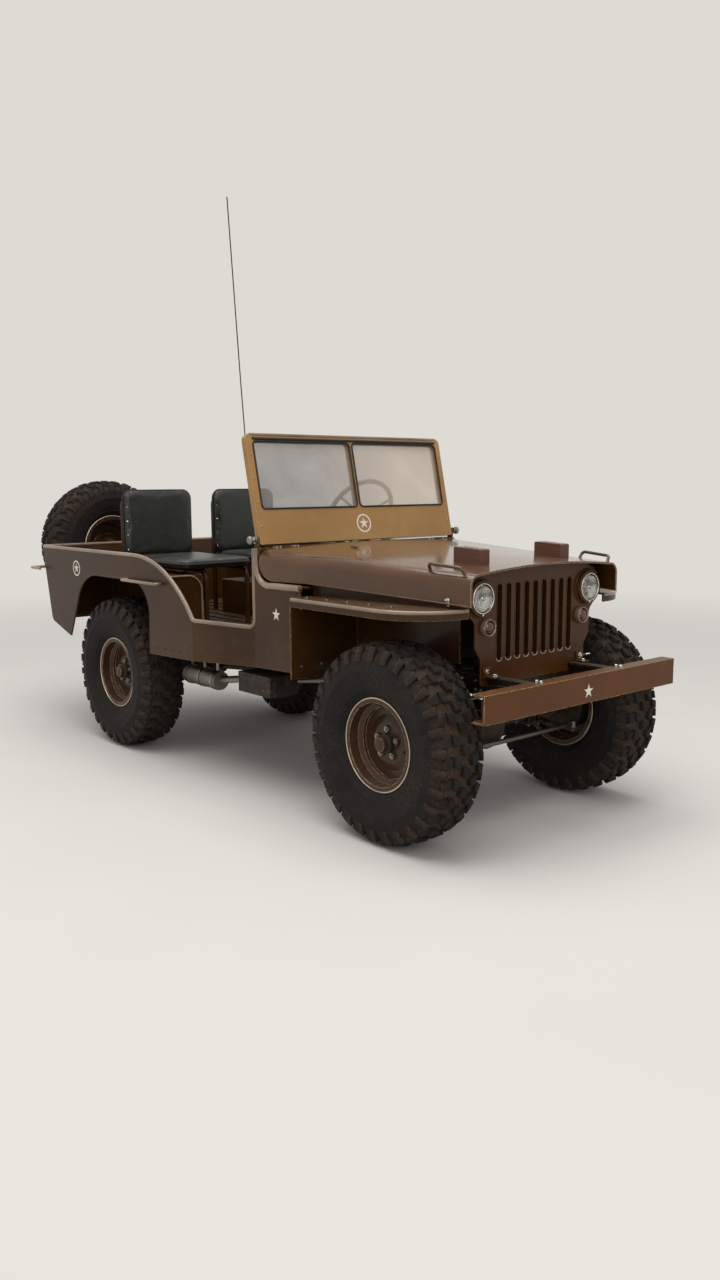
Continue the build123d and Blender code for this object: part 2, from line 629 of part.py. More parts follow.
hood_outer = loft([hood_section(row, 0.0) for row in HOOD_SECTIONS], ruled=True)
hood_inner = loft([hood_section(row, SHEET) for row in HOOD_SECTIONS], ruled=True)
HOOD_SIDE = [
    (HOOD_REAR, 900, 0), (HOOD_REAR, 735, 60), (BODY_FRONT, 735, 0),
    (HOOD_FRONT, 706, 0), (HOOD_FRONT, 900, 0),
]
hood = (hood_outer - hood_inner) & side_plate(HOOD_SIDE, (-600, 600))
HOOD_HANDLE = [(1088, 338, 796), (1093, 352, 822), (1205, 338, 814), (1210, 322, 790)]
handle = tube(HOOD_HANDLE, 5, 12)
hood += handle
hood += other_side(handle)

# Hood hinges: knuckles on the hood round pins that the cowl's knuckles hold
HOOD_PIN = (HOOD_REAR, 841.0)
HOOD_PIN_R = 2.0
KNUCKLE_R = 3.5
KNUCKLE_Y = ((300.0, 329.0), (330.0, 370.0), (371.0, 400.0))


def along_hinge(y, side, radius):
    """A bar on the hood's hinge line between two distances from the middle."""
    return bar((HOOD_PIN[0], side * y[0], HOOD_PIN[1]), (HOOD_PIN[0], side * y[1], HOOD_PIN[1]), radius)


for side in (-1, 1):
    near, middle, far = KNUCKLE_Y
    gap = sorted((side * (middle[0] - 1), side * (middle[1] + 1)))
    hood -= box((HOOD_REAR - 1, HOOD_REAR + 6), gap, (820, 860))
    hood += along_hinge(near, side, KNUCKLE_R)
    hood += along_hinge(far, side, KNUCKLE_R)
    hood -= along_hinge((near[0] - 1, far[1] + 1), side, HOOD_PIN_R + RUN)
    across = sorted((side * middle[0], side * middle[1]))
    cowl += box((DOOR_FRONT + 10, HOOD_REAR), across, (COWL_Z - 1, COWL_Z + 2))
    cowl += along_hinge(middle, side, KNUCKLE_R)
    cowl += along_hinge((near[0] + 1, far[1] - 1), side, HOOD_PIN_R)
save("hood", hood)
save("cowl", cowl)

# Wooden blocks on the hood
BLOCK_Y = (162.0, 204.0)
BLOCK = [(1047, 780, 0), (1151, 780, 0), (1151, 855.5, 5), (1047, 860.5, 5)]
blocks = []
for side in (-1, 1):
    across = sorted((side * BLOCK_Y[0], side * BLOCK_Y[1]))
    blocks += (side_plate(BLOCK, across) - hood_outer).solids()
save("hood_blocks", blocks)

# Grille: one pressed panel with nine flanged slots and two lamp openings
SLOTS = 9
SLOT_PITCH = 40.0
SLOT_HALF = 11.5
SLOT_LOW = 532.0
SLOT_TOP = 758.0
LAMP_Y = 245.0
LAMP_Z = 722.0
LAMP_R = 46.0
MARKER_Y = 215.0
MARKER_Z = 636.0
GRILLE_SHEET = 5.0
FLANGE = 12.0
GRILLE = [
    (-238, 465, 12), (238, 465, 12), (238, 544, 20), (262, 576, 20), (262, 650, 30), (302, 690, 20),
    (302, 788, 46), (-302, 788, 46), (-302, 690, 20), (-262, 650, 30), (-262, 576, 20), (-238, 544, 20),
]


def slot(y, half):
    """One slot's outline, with round ends."""
    low, high, end = SLOT_LOW + SLOT_HALF - half, SLOT_TOP - SLOT_HALF + half, half * 0.98
    return [(y - half, low, end), (y + half, low, end), (y + half, high, end), (y - half, high, end)]


grille = front_plate(GRILLE, (GRILLE_X - GRILLE_SHEET, GRILLE_X))
for i in range(SLOTS):
    y = (i - (SLOTS - 1) / 2) * SLOT_PITCH
    grille += front_plate(slot(y, SLOT_HALF + 3), (GRILLE_X - FLANGE, GRILLE_X - 4))
    grille -= front_plate(slot(y, SLOT_HALF), (GRILLE_X - FLANGE - 1, GRILLE_X + 1))
for side in (-1, 1):
    y = side * LAMP_Y
    grille -= bar((GRILLE_X - 20, y, LAMP_Z), (GRILLE_X + 20, y, LAMP_Z), LAMP_R)
    notch = sorted((side * (RAIL_Y - RAIL_HALF - 3), side * (RAIL_Y + RAIL_HALF + 3)))
    grille -= box((GRILLE_X - 20, GRILLE_X + 1), notch, (400, FRAME_TOP))
save("grille", grille)

# Lamps: two headlamps through the grille, two marker lamps on it, two tail lamps
BEZEL = 16.0
shells = []
lenses = []
markers = []
tails = []
for side in (-1, 1):
    y = side * LAMP_Y
    shell = bar((GRILLE_X - 60, y, LAMP_Z), (GRILLE_X + BEZEL, y, LAMP_Z), LAMP_R)
    shell += bar((GRILLE_X, y, LAMP_Z), (GRILLE_X + BEZEL - 2, y, LAMP_Z), LAMP_R + 5)
    shell -= bar((GRILLE_X - 20, y, LAMP_Z), (GRILLE_X + BEZEL + 1, y, LAMP_Z), LAMP_R - 5)
    shells += shell.solids()
    lenses += (Pos(GRILLE_X + 4, y, LAMP_Z) * lens(LAMP_R - 5, 20)).solids()
    y = side * MARKER_Y
    markers += (Pos(GRILLE_X, y, MARKER_Z) * lens(21, 18)).solids()
    y = side * 440
    tail = bar((-1125, y, 610), (-1040, y, 610), 27) - AHEAD
    tails += tail.solids()
save("headlamp_shells", shells)
save("headlamp_lenses", lenses)
save("marker_lamps", markers)
save("tail_lamps", tails)

# Front fenders: top with lips, rear skirt and the wall beside the engine
FENDER_Y = (224.0, 500.0)
FENDER_WALL_END = 1100.0
BESIDE_GRILLE = 309.0
LIP = 28.0
CORNER = 185.0
fender = plan_plate(
    [(BODY_FRONT, FENDER_Y[0], 0), (BODY_FRONT, FENDER_Y[1], 0), (FENDER_FRONT, FENDER_Y[1], CORNER),
     (FENDER_FRONT, BESIDE_GRILLE, 0), (FENDER_WALL_END, BESIDE_GRILLE, 0),
     (FENDER_WALL_END, FENDER_Y[0], 0)],
    (FENDER_Z - LIP, FENDER_Z),
)
fender -= plan_plate(
    [(BODY_FRONT - 1, FENDER_Y[0] - 1, 0), (BODY_FRONT - 1, FENDER_Y[1] - SHEET, 0),
     (FENDER_FRONT - SHEET, FENDER_Y[1] - SHEET, CORNER - SHEET), (FENDER_FRONT - SHEET, FENDER_Y[0] - 1, 0)],
    (FENDER_Z - LIP - 1, FENDER_Z - SHEET),
)
fender += box((BODY_FRONT, BODY_FRONT + SHEET), FENDER_Y, (440, FENDER_Z))
fender += box((BODY_FRONT, FENDER_WALL_END), (FENDER_Y[0], FENDER_Y[0] + SHEET), (520, FENDER_Z))
save("fender_left", fender)
save("fender_right", other_side(fender))

# Radiator, engine, gearbox and transfer case as plain blocks
save("radiator", box((1121, 1166), (-190, 190), (FRAME_TOP, 745)))
engine = box((640, 940), (-110, 110), (425, 690))
engine += box((760, 820), (-rail_edge, rail_edge), (440, 470))
save("engine", engine)
gearbox = box((336, 640), (-80, 80), (395, FLOOR_Z - SHEET))
gearbox += box((246, 336), (-120, 70), (335, FLOOR_Z - SHEET))
save("gearbox", gearbox)

# Propeller shafts to both axles
PROP_R = 15.0
front_shaft = bar((336, DIFF_Y, 360), (FRONT_AXLE - NOSE, DIFF_Y, TYRE_R), PROP_R)
rear_shaft = bar((246, DIFF_Y, 360), (REAR_AXLE + NOSE, DIFF_Y, TYRE_R), PROP_R)
save("propeller_shafts", front_shaft - gearbox - front_axle, rear_shaft - gearbox - rear_axle)

# Exhaust pipe and silencer under the right side
PIPE = [(650, -105, 452), (620, -150, 405), (520, -235, 392), (90, -330, 345), (0, -358, 332)]
exhaust = tube(PIPE, 13, 30) - engine
exhaust += bar((-195, -360, 332), (20, -360, 332), 34)
save("exhaust", exhaust)

# Fuel tank under the driver's seat
save("fuel_tank", box((-604, -254), (60, 288), (FLOOR_Z, 640)))

# Seats: tube frames, cushions and backs
SEAT_Y = (50.0, 380.0)
CUSHION_X = (-634.0, -190.0)
CUSHION_Z = (726.0, 762.0)
BACK_X = (-674.0, -638.0)
BACK_Z = (745.0, 1030.0)
SEAT_TUBE = 10.0
HOOP_X = -682.0
leg_y = (SEAT_Y[0] + 25, SEAT_Y[1] - 20)
seat_z = CUSHION_Z[0] - SEAT_TUBE + 2
hoop_top = BACK_Z[1] - 30
seat_frame = tube(
    [(HOOP_X, leg_y[0], FLOOR_Z), (HOOP_X, leg_y[0], hoop_top), (HOOP_X, leg_y[1], hoop_top),
     (HOOP_X, leg_y[1], WELL_Z)],
    SEAT_TUBE, 45,
)
for y in (leg_y[0], leg_y[0] + 190):
    seat_frame += tube([(HOOP_X, y, seat_z), (-215, y, seat_z), (-215, y, FLOOR_Z)], SEAT_TUBE - 0.5, 40)
seat_frame += bar((HOOP_X, leg_y[0], seat_z), (HOOP_X, leg_y[1], seat_z), SEAT_TUBE - 1)
cushion = plan_plate(
    [(CUSHION_X[0], SEAT_Y[0], 25), (CUSHION_X[1], SEAT_Y[0], 45), (CUSHION_X[1], SEAT_Y[1], 45),
     (CUSHION_X[0], SEAT_Y[1], 25)],
    CUSHION_Z,
)
back = front_plate(
    [(SEAT_Y[0], BACK_Z[0], 20), (SEAT_Y[1], BACK_Z[0], 20), (SEAT_Y[1], BACK_Z[1], 40),
     (SEAT_Y[0], BACK_Z[1], 40)],
    BACK_X,
)
save("seat_frames", both_sides(seat_frame))
save("seat_cushions", both_sides(cushion - seat_frame))
save("seat_backs", both_sides(back - seat_frame))

# Gear lever, transfer lever and pedals
LEVERS = [  # foot, knob centre, radius, knob radius
    ((336, 0, FLOOR_Z), (286, 10, 690), 7, 15),
    ((316, -60, FLOOR_Z), (272, -66, 640), 6, 12),
]
controls = []
for foot, tip, radius, knob in LEVERS:
    lever = bar(foot, tip, radius) + Pos(*tip) * Sphere(knob)
    controls += (lever - nodes["floor_panel"]).solids()
for y in (150, 215, 330):
    pedal = bar((456, y, 541), (366, y, 575), 5)
    pedal += box((358, 366), (y - 22, y + 22), (560, 610))
    controls += (pedal - cowl).solids()
save("pedals_and_levers", controls)

# Tube handles along both sides, the rear ones round the corners
HANDLE_Z = 690.0
HANDLE_Y = 542.0
front_handle = tube(
    [(-367, BODY_Y, HANDLE_Z), (-379, HANDLE_Y, HANDLE_Z), (-110, HANDLE_Y, HANDLE_Z),
     (-122, BODY_Y, HANDLE_Z)],
    6, 10,
)
rear_handle = tube(
    [(-951, BODY_Y, HANDLE_Z), (-939, HANDLE_Y, HANDLE_Z), (-1195, HANDLE_Y, HANDLE_Z),
     (-1195, 470, HANDLE_Z), (rear_x(HANDLE_Z), 470, HANDLE_Z)],
    6, 10,
)
beyond = box((-1300, 0), (BODY_Y, BODY_Y + 60), (600, 800))
handles = both_sides(front_handle & beyond)
handles += both_sides(rear_handle - box((-1000, -900), (400, BODY_Y), (600, 800)) - AHEAD)
save("body_handles", handles)

# Whip antenna on a bracket inside the left rear side
BASE = Vector(-958, 482, 0)
antenna = tube([(BASE.X, BASE.Y, 720), (BASE.X - 88, BASE.Y, 1540), (BASE.X - 167, BASE.Y, 2390)], 3.5, 6000)
antenna += box((BASE.X - 22, BASE.X + 22), (inside - 8, inside - FIT), (630, 700))
antenna += box((BASE.X - 12, BASE.X + 12), (BASE.Y - 8, inside - 6), (660, 672))
antenna += bar((BASE.X, BASE.Y, 668), (BASE.X, BASE.Y, 730), 11)
save("antenna", antenna)

os.makedirs("parts", exist_ok=True)
for name, shape in nodes.items():
    export_step(shape, f"parts/{name}.step")
print(len(nodes), "nodes")
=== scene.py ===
"""Looks for the small open army 4x4 car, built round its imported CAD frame."""

import math

import bmesh
import bpy
from mathutils import Matrix, Vector


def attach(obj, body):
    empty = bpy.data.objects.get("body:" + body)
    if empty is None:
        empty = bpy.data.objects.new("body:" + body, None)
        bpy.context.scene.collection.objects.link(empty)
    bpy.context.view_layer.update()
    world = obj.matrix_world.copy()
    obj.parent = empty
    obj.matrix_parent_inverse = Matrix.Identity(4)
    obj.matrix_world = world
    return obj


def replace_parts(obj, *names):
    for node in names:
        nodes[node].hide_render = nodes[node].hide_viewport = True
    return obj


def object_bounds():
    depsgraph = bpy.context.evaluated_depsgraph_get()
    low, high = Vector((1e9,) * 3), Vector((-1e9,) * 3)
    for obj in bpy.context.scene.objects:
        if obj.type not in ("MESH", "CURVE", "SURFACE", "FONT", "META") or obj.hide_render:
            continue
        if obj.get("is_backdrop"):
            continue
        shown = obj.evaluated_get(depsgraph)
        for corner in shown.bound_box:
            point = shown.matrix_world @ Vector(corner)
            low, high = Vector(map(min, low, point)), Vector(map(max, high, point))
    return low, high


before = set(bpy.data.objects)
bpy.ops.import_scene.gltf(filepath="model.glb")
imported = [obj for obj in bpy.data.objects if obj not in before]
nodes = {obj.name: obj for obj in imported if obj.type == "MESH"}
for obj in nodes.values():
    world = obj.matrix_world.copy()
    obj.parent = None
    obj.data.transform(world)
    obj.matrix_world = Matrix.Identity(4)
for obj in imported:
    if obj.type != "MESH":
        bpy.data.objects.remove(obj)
cad_box = [list(corner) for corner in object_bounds()]


# Photographer's place
# The camera stands ahead of the right front wheel at chest height and looks
# back along the car. Its lens and place were solved from the photograph.
yaw, pitch, roll = math.radians(139.35), math.radians(-8.664), math.radians(-0.337)
STAND = (3.1724, -2.3943, 1.0471)
FOCAL_PIXELS, PHOTO_HEIGHT = 1030.55, 1280
scene = bpy.context.scene
scene.view_settings.view_transform = "Standard"
ahead = Vector((math.cos(yaw) * math.cos(pitch), math.sin(yaw) * math.cos(pitch), math.sin(pitch)))
level = Vector((math.sin(yaw), -math.cos(yaw), 0))
above = level.cross(ahead)
right = math.cos(roll) * level + math.sin(roll) * above
above = -math.sin(roll) * level + math.cos(roll) * above
lens = bpy.data.cameras.new("camera")
lens.sensor_fit = "VERTICAL"
lens.sensor_height = 36.0
lens.lens = FOCAL_PIXELS / PHOTO_HEIGHT * lens.sensor_height
camera = bpy.data.objects.new("camera", lens)
aim = Matrix((right, above, -ahead)).transposed().to_4x4()
camera.matrix_world = Matrix.Translation(STAND) @ aim
scene.collection.objects.link(camera)
scene.camera = camera


# Studio floor and light
# A plain pale sweep of matt paint, which far off is as bright as the backdrop. A
# large soft lamp overhead and a weaker one ahead of the car light it evenly.
def linear(code):
    """An sRGB hex colour as the linear one that Blender's sockets take."""
    channels = [int(code[i:i + 2], 16) / 255 for i in (0, 2, 4)]
    return (*[c / 12.92 if c <= 0.04045 else ((c + 0.055) / 1.055) ** 2.4 for c in channels], 1.0)


def give(tree, node, inputs):
    """Sets a node's inputs: each takes a number, a hex colour or another node's output."""
    for name, value in inputs.items():
        socket = node.inputs[name]
        if isinstance(value, bpy.types.NodeSocket):
            tree.links.new(value, socket)
        elif socket.type == "RGBA":
            socket.default_value = linear(value)
        else:
            socket.default_value = value


def add(tree, kind, inputs=None, **settings):
    """Adds a node with its settings, and gives it its inputs."""
    made = tree.nodes.new(kind)
    for name, value in settings.items():
        setattr(made, name, value)
    give(tree, made, inputs or {})
    return made


def start_material(name, constants=None):
    """A new material, its node tree, its shader with the plain numbers set, and its Object coordinates."""
    made = bpy.data.materials.new(name)
    made.use_nodes = True
    tree = made.node_tree
    shader = tree.nodes["Principled BSDF"]
    give(tree, shader, constants or {})
    return made, tree, shader, add(tree, "ShaderNodeTexCoord").outputs["Object"]


def spread(tree, *patterns):
    """Patterns multiplied; each is a value, its low and high, and what those two become if not 0 and 1."""
    share = None
    for value, low, high, *ends in patterns:
        least, most = ends or (0.0, 1.0)
        part = add(tree, "ShaderNodeMapRange", {
            "Value": value, "From Min": low, "From Max": high, "To Min": least, "To Max": most,
        }).outputs["Result"]
        if share is None:
            share = part
        else:
            share = add(tree, "ShaderNodeMath", {0: share, 1: part}, operation="MULTIPLY").outputs["Value"]
    return share


def laid_over(tree, under, over, *patterns):
    """The colour of a surface where a second coat covers the first as far as the patterns say."""
    share = spread(tree, *patterns)
    return add(tree, "ShaderNodeMix", {0: share, 6: under, 7: over}, data_type="RGBA").outputs[2]


def looked_at(tree):
    """One for a ray that looks, from the camera or by way of metal or glass, and zero for light."""
    rays = add(tree, "ShaderNodeLightPath")
    sent_on = add(tree, "ShaderNodeMath", {
        0: rays.outputs["Is Glossy Ray"], 1: rays.outputs["Is Transmission Ray"]}, operation="MAXIMUM")
    return add(tree, "ShaderNodeMath", {
        0: rays.outputs["Is Camera Ray"], 1: sent_on.outputs["Value"]}, operation="MAXIMUM").outputs["Value"]


SWEEP = "DEDAD4"
GLOW_STARTS, GLOW_FULL = 2.2, 7.0  # metres from the middle of the car
FLOOR_REACH = 40
floor_paint, tree, shader, place = start_material("matt_floor_paint", {"Roughness": 0.9})
mottle = add(tree, "ShaderNodeTexNoise", {"Vector": place, "Scale": 1.5, "Detail": 4.0}).outputs["Fac"]
give(tree, shader, {"Base Color": laid_over(tree, "CFCBC5", "D6D2CC", (mottle, 0.0, 1.0))})
reach = add(tree, "ShaderNodeVectorMath", {0: place}, operation="LENGTH").outputs["Value"]
away = add(tree, "ShaderNodeMapRange", {"Value": reach, "From Min": GLOW_STARTS, "From Max": GLOW_FULL},
           interpolation_type="SMOOTHSTEP").outputs["Result"]
share = add(tree, "ShaderNodeMath", {0: away, 1: looked_at(tree)}, operation="MULTIPLY")
glow = add(tree, "ShaderNodeEmission", {"Color": SWEEP, "Strength": 1.0})
joined = add(tree, "ShaderNodeMixShader", {
    0: share.outputs["Value"], 1: shader.outputs["BSDF"], 2: glow.outputs["Emission"]})
give(tree, tree.nodes["Material Output"], {"Surface": joined.outputs["Shader"]})
mesh = bpy.data.meshes.new("floor")
corners = [(-1, -1), (1, -1), (1, 1), (-1, 1)]
mesh.from_pydata([(x * FLOOR_REACH, y * FLOOR_REACH, 0) for x, y in corners], [], [(0, 1, 2, 3)])
mesh.materials.append(floor_paint)
floor = bpy.data.objects.new("floor", mesh)
scene.collection.objects.link(floor)
floor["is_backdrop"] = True

world = bpy.data.worlds.new("studio")
scene.world = world
world.use_nodes = True
tree = world.node_tree
background = tree.nodes["Background"]
give(tree, background, {"Color": "E6E5E6", "Strength": 0.62})
seen = add(tree, "ShaderNodeBackground", {"Color": SWEEP, "Strength": 1.0})
chosen = add(tree, "ShaderNodeMixShader", {
    0: looked_at(tree), 1: background.outputs["Background"], 2: seen.outputs["Background"]})
give(tree, tree.nodes["World Output"], {"Surface": chosen.outputs["Shader"]})

LAMPS = [  # name, place, size, watts
    ("overhead", (0.6, -1.0, 6.0), 6.0, 330),
    ("ahead", (6.5, -2.2, 3.4), 4.0, 90),
]
LIT_PLACE = Vector((0.2, 0, 0.6))
for name, place, size, watts in LAMPS:
    light = bpy.data.lights.new(name, "AREA")
    light.size = size
    light.energy = watts
    lamp = bpy.data.objects.new(name, light)
    lamp.location = place
    lamp.rotation_euler = (LIT_PLACE - lamp.location).to_track_quat("-Z", "Y").to_euler()
    scene.collection.objects.link(lamp)


# Ladder frame
# Two folded channel rails with crossmembers, spring hangers and outriggers, in
# brushed black chassis enamel: dusty on top, splashed with mud, and rubbed and painted pale as a highlight at
# its folds.
DUST, MUD = "8F8068", "5C4A36"
MUD_TOP, MUD_THICK = 0.64, 0.36  # heights in metres where the mud ends and where it is thickest


def enamel(name, colour, faded, edge, roughness, coat=0.35, dust=0.35, mud=0.5, worn=0.003):
    """Brushed enamel over steel: faded in clouds 0.3 m across, scuffed in marks some 70 mm across,
    dusty where it faces up, muddy below the sills and pale along folds as wide as worn, in metres,
    which is rubbed paint and a painted highlight together.
    Its brush grain is drawn 10 mm across, coarser than the real one, so that it shows."""
    made, tree, shader, place = start_material(name, {
        "Coat Weight": coat, "Coat Roughness": 0.12, "Specular IOR Level": 0.2})
    clouds, scuffs, splash, grain = [
        add(tree, "ShaderNodeTexNoise", {
            "Vector": place, "Scale": scale, "Detail": detail, "Roughness": rough}).outputs["Fac"]
        for scale, detail, rough in ((3.2, 6.0, 0.6), (14.0, 9.0, 0.8), (34.0, 8.0, 0.75), (95.0, 4.0, 0.7))]
    body = laid_over(tree, colour, faded, (clouds, 0.38, 0.7))
    body = laid_over(tree, body, edge, (scuffs, 0.6, 0.8, 0.0, 0.22))
    upward = add(tree, "ShaderNodeSeparateXYZ", {"Vector": place.node.outputs["Normal"]}).outputs["Z"]
    settled = spread(tree, (upward, 0.75, 1.0), (grain, 0.3, 0.75), (clouds, 0.35, 0.75, 0.3 * dust, dust))
    body = laid_over(tree, body, DUST, (settled, 0.0, 1.0))
    height = add(tree, "ShaderNodeSeparateXYZ", {"Vector": place}).outputs["Z"]
    body = laid_over(tree, body, MUD, (height, MUD_TOP, MUD_THICK), (splash, 0.5, 0.66),
                     (clouds, 0.3, 0.6, 0.4 * mud, mud))
    bevel = add(tree, "ShaderNodeBevel", {"Radius": worn}, samples=6).outputs["Normal"]
    true = add(tree, "ShaderNodeNewGeometry").outputs["Normal"]
    turn = add(tree, "ShaderNodeVectorMath", {0: bevel, 1: true}, operation="DOT_PRODUCT").outputs["Value"]
    # Folds as wide as worn turn pale: rubbed paint, and a painted highlight as well.
    body = laid_over(tree, body, edge, (turn, 0.99, 0.9), (grain, 0.4, 0.58))
    gloss = spread(tree, (clouds, 0.3, 0.7, roughness - 0.05, roughness + 0.1))
    dulled = add(tree, "ShaderNodeMath", {0: settled, 1: gloss}, operation="ADD", use_clamp=True)
    peel = add(tree, "ShaderNodeBump", {
        "Height": grain, "Strength": 0.15, "Distance": 0.0008, "Normal": bevel})
    give(tree, shader, {
        "Base Color": body, "Roughness": dulled.outputs["Value"], "Normal": peel.outputs["Normal"]})
    return made


def coat(material, *names):
    """Gives CAD nodes a material."""
    for name in names:
        for slot in nodes[name].material_slots:
            slot.material = material


chassis_enamel = enamel("black_chassis_enamel", "1C1612", "2A211A", "5E4E3E", 0.5,
                        coat=0.1, dust=0.6, mud=0.9)
coat(chassis_enamel, "frame", "spring_hangers", "side_boxes", "tow_hitch", "radiator")


def mm(point):
    """A place in millimetres as one in metres."""
    return Vector(point) / 1000


def angles(count):
    """Evenly spaced angles round a circle."""
    return [2 * math.pi * i / count for i in range(count)]


def oblong(left, low, right, high):
    """The four corners of a rectangle, for a plate."""
    return [(left, low), (right, low), (right, high), (left, high)]


class Piece:
    """Gathers the closed shells of one piece, given in millimetres, and makes its object."""

    def __init__(self):
        self.work = bmesh.new()

    def shell(self, points, faces):
        """One closed shell from its points and faces."""
        made = [self.work.verts.new(mm(point)) for point in points]
        for face in faces:
            self.work.faces.new([made[i] for i in face])

    def turned(self, profile, origin, axis, count=32):
        """A lathe-turned form: rows of radius and height along the axis from the origin."""
        axis = Vector(axis).normalized()
        side = axis.orthogonal().normalized()
        up = axis.cross(side)
        points, rings = [], []
        for radius, height in profile:
            start = len(points)
            for angle in angles(1 if radius == 0 else count):
                arm = side * math.cos(angle) + up * math.sin(angle)
                points.append(Vector(origin) + axis * height + arm * radius)
            rings.append(list(range(start, len(points))))
        faces = []
        for near, far in zip(rings, rings[1:]):
            for i in range(count):
                quad = [near[i % len(near)], near[(i + 1) % len(near)],
                        far[(i + 1) % len(far)], far[i % len(far)]]
                face = list(dict.fromkeys(quad))
                if len(face) > 2:
                    faces.append(face)
        if profile[0] != profile[-1]:
            faces += [ring for ring in (rings[0], rings[-1]) if len(ring) > 2]
        self.shell(points, faces)

    def plate(self, corners, origin, right, up, depth):
        """A flat outline in the right and up directions, as thick as the depth along their cross product."""
        right, up = Vector(right).normalized(), Vector(up).normalized()
        back = right.cross(up) * depth
        front = [Vector(origin) + right * u + up * v for u, v in corners]
        count = len(front)
        sides = [[i, (i + 1) % count, count + (i + 1) % count, count + i] for i in range(count)]
        self.shell(front + [p + back for p in front],
                   [list(range(count)), list(range(count, 2 * count)), *sides])

    def done(self, name, body, material, rounded=0.0, smooth=35.0):
        """The finished object, which rides on a body."""
        bmesh.ops.remove_doubles(self.work, verts=self.work.verts, dist=1e-6)
        bmesh.ops.recalc_face_normals(self.work, faces=self.work.faces)
        if rounded:
            sharp = [e for e in self.work.edges if e.calc_face_angle(0) > 0.7]
            bmesh.ops.bevel(self.work, geom=sharp, offset=rounded / 1000, segments=2, affect="EDGES",
                            profile=0.6, clamp_overlap=True)
        mesh = bpy.data.meshes.new(name)
        self.work.to_mesh(mesh)
        self.work.free()
        return finished(name, mesh, body, material, smooth)


def finished(name, mesh, body, material, smooth=35.0):
    """An object for a final mesh, smooth except at its sharp edges, riding on a body."""
    mesh.materials.clear()
    mesh.materials.append(material)
    mesh.shade_smooth()
    mesh.set_sharp_from_angle(angle=math.radians(smooth))
    made = bpy.data.objects.new(name, mesh)
    scene.collection.objects.link(made)
    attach(made, body)
    return made


def start_tree(name, sizes):
    """A Geometry Nodes tree with its geometry input and its named inputs for sizes and material."""
    tree = bpy.data.node_groups.new(name, "GeometryNodeTree")
    tree.interface.new_socket("Geometry", in_out="INPUT", socket_type="NodeSocketGeometry")
    for label, kind in sizes:
        tree.interface.new_socket(label, in_out="INPUT", socket_type=kind)
    tree.interface.new_socket("Geometry", in_out="OUTPUT", socket_type="NodeSocketGeometry")
    return tree, tree.nodes.new("NodeGroupInput"), tree.nodes.new("NodeGroupOutput")


def grown(name, tree, carrier, body, material, smooth=35.0, **sizes):
    """Runs a Geometry Nodes tree on a carrier mesh and keeps the result as a plain mesh."""
    holder = bpy.data.objects.new(name + "_carrier", carrier)
    scene.collection.objects.link(holder)
    modifier = holder.modifiers.new("grow", "NODES")
    modifier.node_group = tree
    values = {"Material": material, **{label.replace("_", " ").title(): v for label, v in sizes.items()}}
    for socket in tree.interface.items_tree:
        if socket.in_out == "INPUT" and socket.name in values:
            modifier[socket.identifier] = values[socket.name]
    bpy.context.view_layer.update()
    seen = holder.evaluated_get(bpy.context.evaluated_depsgraph_get())
    mesh = bpy.data.meshes.new_from_object(seen)
    holder.modifiers.remove(modifier)
    bpy.data.objects.remove(holder)
    mesh.name = name
    return finished(name, mesh, body, material, smooth)


# Rivets and bolts
# Upset rivets, hexagon bolts and nuts, and round-headed screws with a socket. One
# head of each kind is set on a carrier's points and turned the way that each faces.
heads_tree, given, kept = start_tree("set_heads", [
    ("Head", "NodeSocketObject"), ("Size", "NodeSocketFloat"), ("Material", "NodeSocketMaterial")])
facing = add(heads_tree, "GeometryNodeInputNamedAttribute", {"Name": "facing"}, data_type="FLOAT_VECTOR")
turn = add(heads_tree, "FunctionNodeAlignRotationToVector", {"Vector": facing.outputs["Attribute"]}, axis="Z")
head = add(heads_tree, "GeometryNodeObjectInfo", {"Object": given.outputs["Head"]})
scatter = add(heads_tree, "GeometryNodeInstanceOnPoints", {
    "Points": given.outputs["Geometry"], "Instance": head.outputs["Geometry"],
    "Rotation": turn.outputs["Rotation"], "Scale": given.outputs["Size"]})
real = add(heads_tree, "GeometryNodeRealizeInstances", {"Geometry": scatter.outputs["Instances"]})
painted = add(heads_tree, "GeometryNodeSetMaterial", {
    "Geometry": real.outputs["Geometry"], "Material": given.outputs["Material"]})
heads_tree.links.new(painted.outputs["Geometry"], kept.inputs["Geometry"])

HEADS = {  # rows of radius and height in mm, and the sides of the lathe form
    "rivet": ([(0, -2), (5, -2), (5, 0.2), (4.2, 1.6), (2.4, 2.8), (0, 3.2)], 12),
    "bolt": ([(0, -2), (9.5, -2), (9.5, 0), (9.5, 1.5), (6.6, 1.5), (6.6, 6), (5.8, 6.8), (0, 6.8)], 6),
    "nut": ([(0, -2), (10.5, -2), (10.5, 8), (9.4, 9.4), (5, 9.4), (5, 13), (4, 14), (0, 14)], 6),
    "screw": ([(0, -2), (6, -2), (6, 0.6), (4.8, 2.0), (2.6, 2.8), (2.2, 1.6), (0, 1.6)], 12),
}


def heads(name, kind, body, material, rows, size=1.0):
    """Heads at places in mm, each row a place and the way that it faces."""
    profile, sides = HEADS[kind]
    pattern = Piece()
    pattern.turned(profile, (0, 0, 0), (0, 0, 1), sides)
    model = pattern.done(kind + "_pattern", body, material, smooth=40)
    carrier = bpy.data.meshes.new(name)
    carrier.from_pydata([mm(place) for place, _ in rows], [], [])
    layer = carrier.attributes.new("facing", "FLOAT_VECTOR", "POINT")
    layer.data.foreach_set("vector", [c for _, way in rows for c in way])
    grown(name, heads_tree, carrier, body, material, 40, head=model, size=size)
    bpy.data.objects.remove(model)


